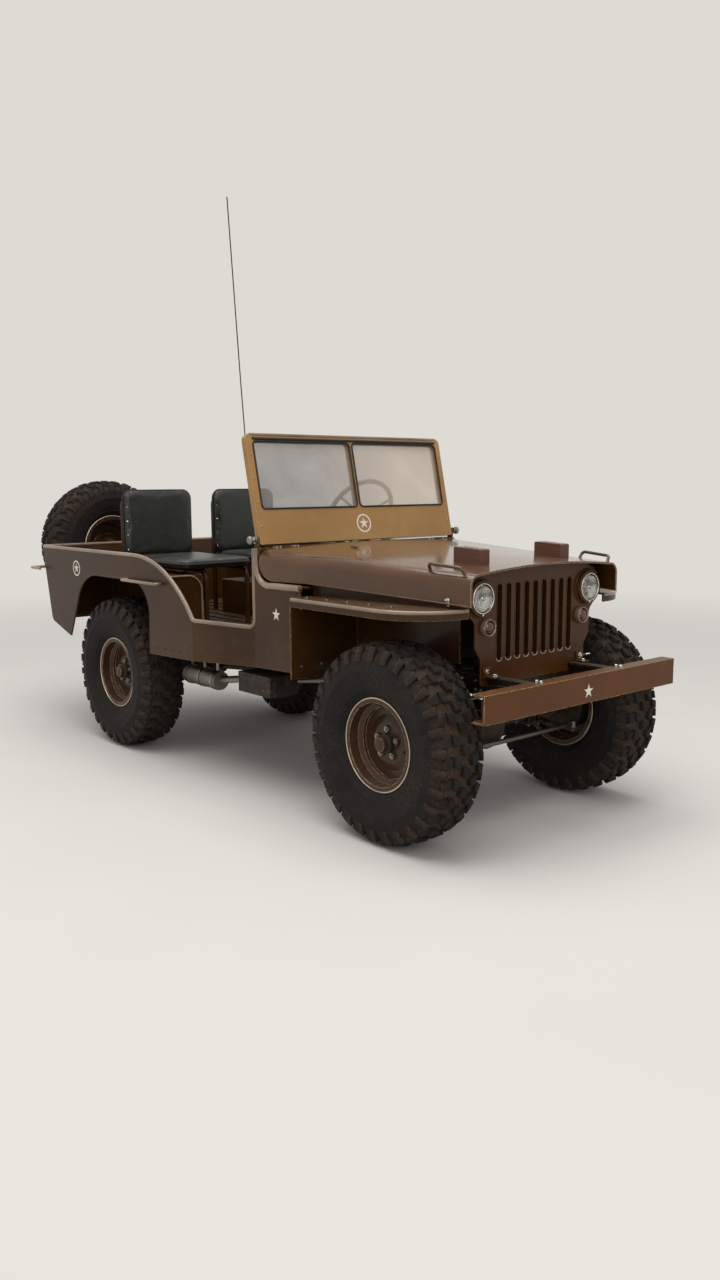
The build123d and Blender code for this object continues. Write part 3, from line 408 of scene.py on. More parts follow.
# Beads and tubes
# Rolled edges, welded beads, bent tubes and moulded strips: a round section swept
# along polylines whose corners are rounded to a radius of their own.
bead_tree, given, kept = start_tree("rolled_bead", [
    ("Radius", "NodeSocketFloat"), ("Sides", "NodeSocketInt"), ("Material", "NodeSocketMaterial")])
thick = add(bead_tree, "GeometryNodeInputNamedAttribute", {"Name": "thick"}, data_type="FLOAT")
corner = add(bead_tree, "GeometryNodeInputNamedAttribute", {"Name": "corner"}, data_type="FLOAT")
line = add(bead_tree, "GeometryNodeMeshToCurve", {"Mesh": given.outputs["Geometry"]})
arcs = add(bead_tree, "GeometryNodeFilletCurve", {
    "Curve": line.outputs["Curve"], "Radius": corner.outputs["Attribute"], "Count": 10,
    "Limit Radius": True}, mode="POLY")
sized = add(bead_tree, "GeometryNodeSetCurveRadius", {
    "Curve": arcs.outputs["Curve"], "Radius": thick.outputs["Attribute"]})
ring = add(bead_tree, "GeometryNodeCurvePrimitiveCircle", {
    "Resolution": given.outputs["Sides"], "Radius": given.outputs["Radius"]})
swept = add(bead_tree, "GeometryNodeCurveToMesh", {
    "Curve": sized.outputs["Curve"], "Profile Curve": ring.outputs["Curve"], "Fill Caps": True})
real = add(bead_tree, "GeometryNodeRealizeInstances", {"Geometry": swept.outputs["Mesh"]})
painted = add(bead_tree, "GeometryNodeSetMaterial", {
    "Geometry": real.outputs["Geometry"], "Material": given.outputs["Material"]})
bead_tree.links.new(painted.outputs["Geometry"], kept.inputs["Geometry"])


def bead(name, body, material, runs, radius, sides=10, closed=False):
    """Round beads along runs in mm; each row is a place, and may add a corner radius
    and a thickness share."""
    points, edges, corners, shares = [], [], [], []
    for run in runs:
        start = len(points)
        for row in run:
            points.append(mm(row[:3]))
            corners.append(row[3] / 1000 if len(row) > 3 else 0.0)
            shares.append(row[4] if len(row) > 4 else 1.0)
        edges += [(i, i + 1) for i in range(start, len(points) - 1)]
        if closed:
            edges.append((len(points) - 1, start))
    carrier = bpy.data.meshes.new(name)
    carrier.from_pydata(points, edges, [])
    for label, values in (("corner", corners), ("thick", shares)):
        carrier.attributes.new(label, "FLOAT", "POINT").data.foreach_set("value", values)
    return grown(name, bead_tree, carrier, body, material, 50, radius=radius / 1000, sides=sides)


def both(rows):
    """Runs or head rows and their mirror images across the car."""
    def flip(row):
        return (row[0], -row[1], *row[2:])
    if rows and isinstance(rows[0][0], tuple) and len(rows[0]) == 2:
        return rows + [(flip(place), flip(way)) for place, way in rows]
    return rows + [[flip(row) for row in run] for run in rows]


def bare_metal(name, colour, roughness, rust=0.3):
    """Bare or plated steel, with rust or grime in patches some 10 mm across."""
    made, tree, shader, place = start_material(name)
    patches, fine = [
        add(tree, "ShaderNodeTexNoise", {
            "Vector": place, "Scale": scale, "Detail": detail, "Roughness": rough}).outputs["Fac"]
        for scale, detail, rough in ((38.0, 8.0, 0.7), (400.0, 3.0, 0.5))]
    share = spread(tree, (patches, 0.62 - 0.2 * rust, 0.72, 0.0, min(1.0, 1.6 * rust)))
    bump = add(tree, "ShaderNodeBump", {"Height": fine, "Strength": 0.1, "Distance": 0.0003})
    give(tree, shader, {
        "Base Color": laid_over(tree, colour, "54382A", (share, 0.0, 1.0)),
        "Metallic": spread(tree, (share, 0.0, 1.0, 1.0, 0.25)),
        "Roughness": spread(tree, (share, 0.0, 1.0, roughness, 0.85)),
        "Normal": bump.outputs["Normal"],
    })
    return made


# Zinc plate on the bolts: dull silver, with rust in patches.
plated = bare_metal("zinc_plated_steel", "8E8B84", 0.35, 0.35)
CROSS_X = (1150, 1075, 200, -384)
RAIL_SIDE_Y, RAIL_FOOT_Z = 204, 431
rows = [((x + dx, RAIL_SIDE_Y, z), (0, 1, 0)) for x in CROSS_X for dx in (-10, 10) for z in (447, 473)]
rows += [((x, y, RAIL_FOOT_Z), (0, 0, -1)) for x in CROSS_X[:3] for y in (40, 120)]
heads("frame_bolts", "bolt", "chassis", plated, both(rows), 0.8)


# Leaf springs
# Five spring-steel leaves a side, black and rusty at their edges, held by folded
# clips, with a pair of U-bolts and a lower plate round each axle tube.
spring_steel = bare_metal("rusty_spring_steel", "3A332D", 0.5, 0.6)
coat(spring_steel, "front_springs", "rear_springs")
AXLES = {"front": 1012.0, "rear": -565.0}
SPRING_Y = 185
LEAVES_LOW, LEAVES_TOP = 335, 376
CLIP_AWAY, BOLT_AWAY, BOLT_Y = 92, 26, 25  # along from the axle, and a U-bolt's legs across
clips, bolts, ends = Piece(), [], []
for axle_x in AXLES.values():
    for side in (-1, 1):
        middle = side * SPRING_Y
        for way in (-1, 1):
            x = axle_x + way * CLIP_AWAY
            for y in (middle + 18.5, middle - 18.5):
                clips.plate(oblong(-9, LEAVES_LOW, 9, LEAVES_TOP), (x, y, 0), (1, 0, 0), (0, 0, 1), 3)
            clips.plate(oblong(-9, -20, 9, 20), (x, middle, LEAVES_TOP), (1, 0, 0), (0, 1, 0), -3)
            x = axle_x + way * BOLT_AWAY
            bolts.append([(x, middle - BOLT_Y, 268), (x, middle - BOLT_Y, 374, 10),
                          (x, middle + BOLT_Y, 374, 10), (x, middle + BOLT_Y, 268)])
            ends += [((x, middle + dy, 270), (0, 0, -1)) for dy in (-BOLT_Y, BOLT_Y)]
        clips.plate(oblong(-40, -34, 40, 34), (axle_x, middle, 272), (1, 0, 0), (0, 1, 0), -6)
clips.done("spring_clips", "chassis", chassis_enamel, rounded=1.0)
bead("spring_u_bolts", "chassis", spring_steel, bolts, 5, 8)
heads("u_bolt_nuts", "nut", "chassis", plated, ends, 0.75)


# Live axles, knuckles and steering rods
# Cast and welded cases in worn black paint, oily and caked with dried mud, with
# ball ends on the rods and telescopic dampers up to the rails.
cast_iron = enamel("painted_cast_iron", "2B2621", "3B332A", "6B5B49", 0.62, coat=0.0, dust=0.5, mud=1.0)
coat(cast_iron, "front_axle", "rear_axle", "knuckle_left", "knuckle_right", "steering_box", "gearbox",
     "engine", "hub_front_left", "hub_front_right", "hub_rear_left", "hub_rear_right")
rod_steel = bare_metal("greased_rod_steel", "6A655D", 0.38, 0.4)
coat(rod_steel, "tie_rod", "drag_link", "pitman_arm", "propeller_shafts")
AXLE_Z = 300
DIFF_Y = -70.0
COVER_BOLT_R = 65
ends = []
for word, back in (("front", 1), ("rear", -1)):
    axle_x = AXLES[word]
    lid = Piece()
    lid.turned([(0, 50), (70, 50), (70, 59), (60, 62), (54, 80), (34, 89), (0, 91)],
               (axle_x, DIFF_Y, AXLE_Z), (back, 0, 0), 36)
    lid.done(word + "_diff_cover", "chassis", cast_iron)
    for a in angles(8):
        y, z = DIFF_Y + COVER_BOLT_R * math.cos(a), AXLE_Z + COVER_BOLT_R * math.sin(a)
        ends.append(((axle_x + back * 59, y, z), (back, 0, 0)))
heads("diff_cover_bolts", "bolt", "chassis", plated, ends, 0.55)

damper = Piece()
for word, lean in (("front", -1), ("rear", 1)):
    for side in (-1, 1):
        foot = Vector((AXLES[word] + lean * 44, side * 232, 290))
        top = Vector((AXLES[word] + lean * 120, side * 222, 470))
        way = top - foot
        up = way.normalized()
        damper.turned([(0, 0), (17, 0), (19, 4), (19, 100), (16, 104), (0, 104)], foot, way, 20)
        damper.turned([(0, 84), (22, 84), (23, 88), (23, way.length - 16), (19, way.length - 10),
                       (0, way.length - 10)], foot, way, 20)
        damper.turned([(0, -14), (14, -14), (14, 14), (0, 14)], foot - up * 8, (0, 1, 0), 16)
        damper.turned([(0, -20), (12, -20), (12, 14), (0, 14)], top - up * 2, (0, 1, 0), 16)
damper.done("dampers", "chassis", chassis_enamel)


# Wheels
# Pressed and welded steel wheels in brown-olive enamel, rubbed pale round their
# rims, partly wear and partly a painted highlight, held by five nuts; dust sits in the outer dish.
rim_enamel = enamel("rim_enamel", "38231A", "46301F", "BCA47E", 0.34,
                    coat=0.2, dust=0.35, mud=0.3, worn=0.004)
coat(rim_enamel, "wheel_front_left", "wheel_front_right", "wheel_rear_left", "wheel_rear_right",
     "spare_wheel")
WHEELS = [  # name, body, centre x, outward side
    ("front_left", "front_left_wheel", AXLES["front"], 1),
    ("front_right", "front_right_wheel", AXLES["front"], -1),
    ("rear_left", "rear_left_wheel", AXLES["rear"], 1),
    ("rear_right", "rear_right_wheel", AXLES["rear"], -1),
]
WHEEL_Y = 414.0
NUTS, NUT_CIRCLE = 5, 42.0
EDGE_OFF, EDGE_R, EDGE_WIRE = 63, 137.5, 2.6
VALVE_R = 117


def rim_details(name, body, centre, way, hub=True):
    """Nuts, rim edges, valve and hub cap of a wheel whose outer side looks along way."""
    centre, way = Vector(centre), Vector(way)
    across = Vector((0, 0, 1)).cross(way)
    turned = [a + 0.3 for a in angles(NUTS)]
    arms = [across * math.cos(a) + Vector((0, 0, 1)) * math.sin(a) for a in turned]
    heads(name + "_wheel_nuts", "nut", body, plated,
          [(tuple(centre + way * 20 + arm * NUT_CIRCLE), tuple(way)) for arm in arms])
    edge = Piece()
    for at in (EDGE_OFF, -EDGE_OFF):
        ring = [(EDGE_R + EDGE_WIRE * math.cos(a), at + EDGE_WIRE * math.sin(a)) for a in angles(8)]
        edge.turned(ring + ring[:1], centre, way, 72)
    edge.done(name + "_rim_edges", body, rim_bright)
    stem = Piece()
    low = centre + across * VALVE_R + way * 34
    stem.turned([(0, -8), (5.5, -8), (5.5, 2), (3.5, 6), (3.5, 22), (4.2, 22), (4.2, 30), (3, 31), (0, 31)],
                low, way - across * 0.35, 12)
    stem.done(name + "_valve", body, rubber_trim)
    if hub:
        cap = Piece()
        cap.turned([(0, 40), (22, 40), (24, 43), (24, 50), (21, 56), (12, 59), (0, 60)], centre, way, 32)
        cap.done(name + "_hub_cap", body, rim_enamel)


# Paint is rubbed off the rims' edges, which are pale as wear and as a painted highlight. Rubber is dull
# black, with a grey bloom.
rim_bright = bare_metal("rim_edge_wear_and_painted_highlight", "C9BCA2", 0.3, 0.25)
rubber_trim, tree, shader, place = start_material("black_moulded_rubber", {"Roughness": 0.7})
bloom = add(tree, "ShaderNodeTexNoise", {"Vector": place, "Scale": 60.0, "Detail": 5.0}).outputs["Fac"]
give(tree, shader, {"Base Color": laid_over(tree, "141312", "24211E", (bloom, 0.0, 1.0))})

for name, body, x, side in WHEELS:
    rim_details(name, body, (x, side * WHEEL_Y, AXLE_Z), (0, side, 0))


# Tyres
# Moulded rubber all-terrain tyres: a round carcass with ribbed sidewalls, five
# staggered rows of chunky blocks and a lug on each shoulder. Dull, with mud between.
rubber, tree, shader, place = start_material("moulded_tyre_rubber", {"Specular IOR Level": 0.22})
film, crumbs = [
    add(tree, "ShaderNodeTexNoise", {
        "Vector": place, "Scale": scale, "Detail": detail, "Roughness": rough}).outputs["Fac"]
    for scale, detail, rough in ((7.0, 7.0, 0.65), (150.0, 5.0, 0.7))]
depth = add(tree, "ShaderNodeAttribute", attribute_name="groove").outputs["Fac"]
tone = laid_over(tree, "110F0E", "201C19", (film, 0.35, 0.7))
tone = laid_over(tree, tone, "49382A", (depth, 0.0, 1.0), (crumbs, 0.35, 0.6, 0.15, 0.8))
tone = laid_over(tree, tone, "6B5B49", (crumbs, 0.5, 0.75), (film, 0.4, 0.7, 0.0, 0.5))
bump = add(tree, "ShaderNodeBump", {"Height": crumbs, "Strength": 0.35, "Distance": 0.001})
give(tree, shader, {
    "Base Color": tone, "Roughness": spread(tree, (film, 0.3, 0.7, 0.62, 0.85)),
    "Normal": bump.outputs["Normal"]})

TURNS = 96
BLOCKS = 30
FOOT_R = 279
CARCASS = [  # radius, distance from the middle: bead, ribbed sidewall, shoulder, crown
    (128, 58), (142, 62), (146, 66), (158, 76), (161, 79), (166, 78.5), (172, 82), (190, 86.5), (214, 88.5),
    (218, 89.8), (222, 89.8), (226, 88.2), (244, 87), (262, 81), (274, 70), (281, 54), (284, 34), (285, 12),
]
BLOCK_ROWS = [  # middle across, half across, tread radius, half along, lean across, lead in blocks
    (0.0, 14.0, 299.6, 13.5, 5.0, 0.0),
    (33.0, 13.0, 298.6, 13.5, -5.0, 0.5),
    (61.0, 11.5, 294.5, 13.0, 4.0, 0.0),
]
SHOULDER = [(274, 66), (289.5, 72), (284, 79), (262, 87.5), (249, 88.8), (246, 84), (262, 74)]


def tyre_mesh():
    """A tyre about Y in metres, with its blocks, and how deep each point lies in the tread."""
    work = bmesh.new()
    groove = work.verts.layers.float.new("groove")

    def point(r, y, a, deep):
        """One point of the tyre at an angle round it."""
        vert = work.verts.new((r * math.sin(a) / 1000, y / 1000, r * math.cos(a) / 1000))
        vert[groove] = deep
        return vert

    def block(foot, top, angle):
        """A block from the corners of its foot and top, each a row of radius, y and distance along."""
        made = [point(r, y, angle + s / 290, 1.0) for r, y, s in foot]
        made += [point(r, y, angle + s / 290, 0.0) for r, y, s in top]
        n = len(foot)
        work.faces.new(made[n:])
        work.faces.new(list(reversed(made[:n])))
        for k in range(n):
            work.faces.new([made[k], made[(k + 1) % n], made[n + (k + 1) % n], made[n + k]])

    section = CARCASS + [(r, -y) for r, y in reversed(CARCASS)] + [(124, -50), (124, 50)]
    rings = [[point(r, y, a, min(1.0, max(0.0, (r - 255) / 26))) for r, y in section] for a in angles(TURNS)]
    count = len(section)
    for near, far in zip(rings, rings[1:] + rings[:1]):
        for j in range(count):
            work.faces.new([near[j], near[(j + 1) % count], far[(j + 1) % count], far[j]])
    for middle, half, top, along, lean, lead in BLOCK_ROWS:
        for side in ((1,) if middle == 0 else (1, -1)):
            for i in range(BLOCKS):
                angle = 2 * math.pi * (i + lead + (0.5 if side < 0 and middle > 50 else 0)) / BLOCKS
                corners = [(-half, -along - lean), (half, -along + lean), (half - 3, along + lean * 0.4),
                           (-half + 3, along - lean * 0.4)]
                low, high = [], []
                for dy, s in corners:
                    y = side * (middle + dy)
                    drop = 0.0026 * max(0.0, abs(y) - 26) ** 2
                    low.append((FOOT_R - drop, side * (middle + dy * 1.12), s * 1.12))
                    high.append((top - drop * 0.6, y, s))
                block(low, high, angle)
    for side in (1, -1):
        for i in range(BLOCKS):
            angle = 2 * math.pi * (i + (0.5 if side < 0 else 0) + 0.5) / BLOCKS
            near = [(r, side * y, -15.0 + 2.5 * (k > 0)) for k, (r, y) in enumerate(SHOULDER)]
            far = [(r, side * y, 15.0 - 2.5 * (k > 0)) for k, (r, y) in enumerate(SHOULDER)]
            block(near, far, angle)
    bmesh.ops.recalc_face_normals(work, faces=work.faces)
    edges = [e for e in work.edges if e.is_manifold and e.calc_face_angle(0) > 0.6 and max(
        v.co.xz.length for v in e.verts) > 0.2855]
    bmesh.ops.bevel(work, geom=edges, offset=0.0014, segments=1, affect="EDGES", clamp_overlap=True)
    mesh = bpy.data.meshes.new("tyre")
    work.to_mesh(mesh)
    work.free()
    return mesh


tyre_form = tyre_mesh()
for name, body, x, side in WHEELS:
    mesh = tyre_form.copy()
    mesh.transform(Matrix.Translation(mm((x, side * WHEEL_Y, AXLE_Z))))
    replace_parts(finished(name + "_tread_tyre", mesh, body, rubber, 40), "tyre_" + name)
SPARE = (-1300.0, -125.0, 765.0)
mesh = tyre_form.copy()
mesh.transform(Matrix.Translation(mm(SPARE)) @ Matrix.Rotation(math.radians(90), 4, "Z"))
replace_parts(finished("spare_tread_tyre", mesh, "chassis", rubber, 40), "spare_tyre")
rim_details("spare", "chassis", SPARE, (-1, 0, 0), hub=False)


# Engine, gearbox, radiator and exhaust
# Cast blocks in grey-black engine enamel; the radiator has a brazed core of thin
# fins behind the grille, and the silencer is galvanised sheet held by bands.
FINS, FIN_STEP = 60, 6
fins = Piece()
for i in range(FINS):
    fins.plate(oblong(0, 500, 2.2, 728), (1167.5, -177 + i * FIN_STEP, 0), (0, 1, 0), (0, 0, 1), -1.6)
fins.done("radiator_fins", "chassis", chassis_enamel)
TANK_X = 1143
tank = Piece()
tank.turned([(0, -150), (15, -150), (17, -147), (17, 147), (15, 150), (0, 150)],
            (TANK_X, 0, 741), (0, 1, 0), 20)
tank.turned([(0, 0), (16, 0), (16, 6), (20, 8), (20, 14), (17, 17), (0, 17)],
            (TANK_X, -60, 752), (0, 0, 1), 24)
tank.done("radiator_top_tank", "chassis", chassis_enamel)
bead("radiator_hoses", "chassis", rubber_trim, [
    [(1128, 90, 735), (1040, 90, 735, 45), (960, 60, 700, 30), (925, 60, 686)],
    [(1128, -110, 520), (1030, -110, 500, 45), (935, -60, 480)],
], 17, 16)
cover = Piece()
cover.plate([(-58, 0), (58, 0), (58, 22), (46, 34), (-46, 34), (-58, 22)], (660, 0, 690),
            (0, 1, 0), (0, 0, 1), 255)
cover.done("rocker_cover", "chassis", cast_iron, rounded=5)
CLEANER_FOOT = (740, -118, 682)
cleaner = Piece()
cleaner.turned([(0, 0), (52, 0), (58, 5), (58, 34), (50, 42), (14, 46), (8, 52), (0, 52)],
               CLEANER_FOOT, (0, 0, 1), 36)
cleaner.turned([(0, -40), (18, -40), (18, 4), (0, 4)], CLEANER_FOOT, (0, 0, 1), 20)
cleaner.done("air_cleaner", "chassis", chassis_enamel)
rows = [((x, 0, 724), (0, 0, 1)) for x in (690, 788, 886)]
heads("rocker_cover_nuts", "bolt", "chassis", plated, rows, 0.9)
galvanised = bare_metal("galvanised_exhaust_sheet", "8A8378", 0.42, 0.5)
coat(galvanised, "exhaust")
SILENCER_Z = 332
bands = Piece()
for x in (-176, -88, 0):
    bands.turned([(33.5, -7), (36.5, -7), (36.5, 7), (33.5, 7), (33.5, -7)],
                 (x, -360, SILENCER_Z), (1, 0, 0), 40)
    bands.plate(oblong(-7, 34, 7, 96), (x, -358, SILENCER_Z), (1, 0, 0), (0, 0, 1), 4)
bands.done("silencer_bands", "chassis", plated)


# Body tub
# Pressed steel floor, wells, sides and leaning rear panel in brown olive drab
# enamel, darkened as painted shade. Their top edges are rolled over a wire, painted pale as a highlight.
# The body enamel is darkened as painted shade: a shaded copy of the olive drab on the hood and bumper.
body_enamel = enamel("olive_drab_enamel_painted_shade", "341C07", "432A10", "A88C66", 0.32,
                     coat=0.12, dust=0.35, mud=0.3)
coat(body_enamel, "body_sides", "rear_panel", "wheel_wells", "floor_panel", "cowl", "fender_left",
     "fender_right", "spare_bracket", "fuel_tank", "seat_frames")
# A paler copy of the enamel: its pale tone on rolled edges, lips, cups and handles is a painted highlight.
rolled = enamel("rolled_edge_painted_highlight", "6E5846", "94806C", "DDD2C2", 0.22, coat=1.0, dust=0.2, mud=0.1)
RIM_Z = 784.0
COWL_Y, SIDE_Y = 455, 512
REAR_X, REAR_LEAN = -1127, 0.22  # where the rear panel's top stands, and its lean outwards
FLOOR_TOP = 497
tub_edge = [(382, -COWL_Y, 836), (382, -COWL_Y, 575, 30, 0.8), (86, -SIDE_Y, 575, 22),
            (-78, -SIDE_Y, RIM_Z, 500), (-1125, -SIDE_Y, RIM_Z, 16)]
tub_edge += [(x, -y, z, *more) for x, y, z, *more in reversed(tub_edge)]
bead("tub_rolled_edge", "chassis", rolled, [tub_edge], 7.5, 14)
ARCH = [(-219, -513, 424), (-206, -513, 690, 125), (-748, -513, 690, 180), (-888, -513, 420)]
bead("arch_edges", "chassis", body_enamel, both([ARCH]), 4, 8)
# The cowl and well edges below take that pale coat, a painted highlight.
COWL_EDGE = [(395, -COWL_Y, 838, 0, 1.0), (395, -COWL_Y, 716, 66, 1.0), (500, -COWL_Y, 721, 0, 0.6),
             (628, -456, 722, 0, 0.3)]
bead("cowl_edges", "chassis", rolled, both([COWL_EDGE]), 11, 14)
REAR_OF_HOOD = [(403, -444, 800), (403, -444, 839, 22), (403, 444, 839, 22), (403, 444, 800)]
bead("cowl_top_bead", "chassis", body_enamel, [REAR_OF_HOOD], 4.5, 10)
WELL_EDGE = [(-197, -296, 500), (-197, -296, 704, 60), (-197, -500, 704)]
bead("well_edges", "chassis", rolled, both([WELL_EDGE]), 4, 8)
ribs = [[(-940, y, FLOOR_TOP), (-150, y, FLOOR_TOP)] for y in (-210, -140, -70, 0, 70, 140, 210)]
ribs += [[(-120, y, FLOOR_TOP), (340, y, FLOOR_TOP)] for y in (-360, -300, -240, -180, 180, 240, 300, 360)]
bead("floor_ribs", "chassis", body_enamel, ribs, 5, 8)


def on_rear(y, z, proud):
    """A place on the leaning rear panel, so far proud of it, and the way that it faces."""
    return (REAR_X + REAR_LEAN * (RIM_Z - z) - proud, y, z), (-1, 0, REAR_LEAN)


rows = [((x, -516, 452), (0, -1, 0)) for x in range(-160, 60, 52)]
rows += [((612, -458.5, z), (0, -1, 0)) for z in range(470, 720, 48)]
rows += [((x, -y, 496), (0, 0, 1)) for x in (-1040, -960, -150, 60, 330) for y in (100, 280)]
heads("tub_rivets", "rivet", "chassis", body_enamel, both(rows), 0.9)
heads("rear_panel_rivets", "rivet", "chassis", body_enamel,
      [on_rear(y, z, 1) for z in (500, 765) for y in range(-480, 481, 80)], 0.9)


# Stencilled stars
# White vehicle paint dabbed through a stencil: a ringed star on the windshield and
# each rear side, a plain one beside each footwell and on the bumper. All are thin.
stencil, tree, shader, place = start_material("stencilled_white_paint", {"Roughness": 0.5})
flakes = add(tree, "ShaderNodeTexNoise", {
    "Vector": place, "Scale": 140.0, "Detail": 6.0, "Roughness": 0.75}).outputs["Fac"]
give(tree, shader, {"Base Color": laid_over(tree, "DCD6C8", "8A7358", (flakes, 0.56, 0.66))})
STAR_R = 22


def star(name, body, centre, across, up, ring=0.0):
    """A five-pointed star 0.4 mm thick, with a ring round it when one is given its radius."""
    across, up = Vector(across).normalized(), Vector(up).normalized()
    mark = Piece()
    points = []
    for i in range(10):
        reach = STAR_R if i % 2 == 0 else STAR_R * 0.382
        angle = math.pi / 2 + math.pi * i / 5
        points.append((reach * math.cos(angle), reach * math.sin(angle)))
    mark.plate(points, Vector(centre) + across.cross(up) * 0.2, across, up, -0.4)
    if ring:
        wall = ring * 0.1
        profile = oblong(ring - wall, -0.2, ring + wall, 0.2)
        mark.turned(profile + profile[:1], centre, across.cross(up), 48)
    mark.done(name, body, stencil, smooth=20)


for side in (-1, 1):
    word = "right" if side < 0 else "left"
    star("rear_star_" + word, "chassis", (-804, side * 516.3, 707), (-side, 0, 0), (0, 0, 1), 29)
    star("cowl_star_" + word, "chassis", (505, side * 458.3, 630), (-side, 0, 0), (0, 0, 1))


# Cowl and dash
# The folded cowl carries the windshield, and its dash holds four round gauges
# with chromed rings over black dials, and a row of switches.
polished = bare_metal("chromed_brass", "D6D4D0", 0.12, 0.12)
dial_face, tree, shader, place = start_material("printed_gauge_dial", {"Roughness": 0.3})
film = add(tree, "ShaderNodeTexNoise", {"Vector": place, "Scale": 120.0, "Detail": 4.0}).outputs["Fac"]
give(tree, shader, {"Base Color": laid_over(tree, "0C0C0B", "2A2926", (film, 0.5, 0.8))})
DASH_X, GAUGE_Z, SWITCH_Z = 382, 772, 765
GAUGES = [(0, 42), (-95, 30), (-165, 30), (95, 30)]  # place across, radius
rings, faces, marks = Piece(), Piece(), Piece()
for y, radius in GAUGES:
    at = (381.5, y, GAUGE_Z)
    section = [(radius, 0), (radius + 5, 0), (radius + 5, 5), (radius + 2, 8), (radius - 2, 6), (radius, 0)]
    rings.turned(section, at, (-1, 0, 0), 40)
    faces.turned([(0, 0), (radius + 1, 0), (radius + 1, 2), (0, 2)], at, (-1, 0, 0), 40)
    for i in range(11):
        a = math.radians(-135 + 27 * i)
        u, v = math.sin(a), math.cos(a)
        inner, outer = radius * 0.72, radius * 0.9
        marks.plate([(u * inner - v, v * inner + u), (u * inner + v, v * inner - u),
                     (u * outer + v, v * outer - u), (u * outer - v, v * outer + u)],
                    (379.2, y, GAUGE_Z), (0, -1, 0), (0, 0, 1), 0.4)
    a = math.radians(-70 + y * 0.4)
    u, v = math.sin(a), math.cos(a)
    marks.plate([(-v * 1.6, u * 1.6), (v * 1.6, -u * 1.6), (u * radius * 0.7, v * radius * 0.7)],
                (378.6, y, GAUGE_Z), (0, -1, 0), (0, 0, 1), 0.5)
for y in (-230, -265, -300, 150, 180):
    rings.turned([(0, 0), (9, 0), (9, 3), (4, 4), (3, 22), (5, 24), (5, 28), (0, 28)],
                 (DASH_X, y, SWITCH_Z), (-1, 0, 0.2), 16)
rings.done("gauge_rings_and_switches", "chassis", polished)
faces.done("gauge_dials", "chassis", dial_face)
marks.done("gauge_marks", "chassis", stencil)
heads("dash_screws", "screw", "chassis", plated,
      [((DASH_X, y, 715), (-1, 0, 0)) for y in range(-420, 421, 105)], 0.8)


# Front fenders
# Flat-topped pressed fenders with a rolled outer edge, bolted to the body beside
# the engine and to the cowl behind. A folded apron closes the gap under the hood.
FENDER_Y, FENDER_Z = 497, 693
FENDER_EDGE = [(640, -FENDER_Y, FENDER_Z), (1208, -FENDER_Y, FENDER_Z, 180), (1208, -312, FENDER_Z)]
# The rolled edges' pale coat is a painted highlight.
bead("fender_rolled_edges", "chassis", rolled, both([FENDER_EDGE]), 6, 12)
APRON = [(0, 0), (546, 0), (546, 25), (0, 48)]
aprons = Piece()
for side in (-1, 1):
    along = Vector((540, side * -80.4, 0)).normalized()
    aprons.plate(APRON, (640, side * 410.3, 698), along, (0, 0, 1), side * 3)
aprons.done("fender_drip_aprons", "chassis", body_enamel)
rows = [((x, -470 + 0.06 * (x - 640), 698), (0, 0, 1)) for x in range(680, 1080, 90)]
rows += [((638, -y, z), (1, 0, 0)) for y in (300, 380, 460) for z in (660, 480)]
heads("fender_bolts", "bolt", "chassis", plated, both(rows), 0.65)


# Hood
# One pressed shell in the same olive drab, given a lighter tone as painted light, and waxed until it shines.
# It has a catch at its rear, a hold-down pin on each side and two rests of brown-stained beech.
# A lighter copy of the body's olive drab: the lighter tone is painted light.
hood_enamel = enamel("waxed_olive_drab_painted_light_enamel", "4A2B0E", "583818", "C2A67C", 0.22,
                     coat=0.9, dust=0.4, mud=0.0)
coat(hood_enamel, "hood")
catch = Piece()
catch.turned([(0, 0), (13, 0), (13, 1.2), (8, 2.4), (0, 2.6)], (560, -175, 841.2), (-0.05, -0.03, 1), 24)
catch.plate([(-34, -6), (30, -4), (34, 0), (30, 4), (-34, 6)], (590, -190, 842.4), (1, -0.35, -0.05),
            (0.35, 1, 0), -1.4)
catch.done("hood_rear_catch", "hood", plated, rounded=0.5)
PIN_X = 1165
pins = Piece()
for side in (-1, 1):
    pins.plate(oblong(-5, -12, 5, 12), (PIN_X, side * 347.5, 716), (side, 0.15, 0), (0, 0, 1), 3)
    pins.turned([(0, -2), (3.2, -2), (3.2, 6), (5, 7), (5, 9), (0, 10)],
                (PIN_X, side * 347, 722), (0, side, 0), 14)
pins.done("hood_hold_down_pins", "hood", polished, rounded=0.4)
bead("hood_rim_wire", "hood", hood_enamel, both([[(640, -424, 736), (1232, -336, 708)]]), 3, 8)
heads("hinge_screws", "screw", "hood", plated,
      both([((428, -y, 846 - 0.00004 * y * y), (0.05, 0, 1)) for y in (306, 322, 378, 394)]), 0.6)

# Stained beech: brown, with its grain along the car.
stained, tree, shader, place = start_material("stained_beech", {"Roughness": 0.5, "Coat Weight": 0.15})
along = add(tree, "ShaderNodeMapping", {"Vector": place, "Scale": (18.0, 240.0, 240.0)})
rays = add(tree, "ShaderNodeTexNoise", {
    "Vector": along.outputs["Vector"], "Scale": 1.0, "Detail": 7.0, "Distortion": 0.6}).outputs["Fac"]
bump = add(tree, "ShaderNodeBump", {"Height": rays, "Strength": 0.35, "Distance": 0.0006})
give(tree, shader, {
    "Base Color": laid_over(tree, "34180C", "693A20", (rays, 0.0, 1.0)), "Normal": bump.outputs["Normal"]})
coat(stained, "hood_blocks")
BLOCK_LEAN = 0.048
rows = [((x, -183, 860.3 - BLOCK_LEAN * (x - 1047)), (BLOCK_LEAN, 0, 1)) for x in (1065, 1133)]
heads("block_screws", "screw", "hood", plated, both(rows), 0.8)
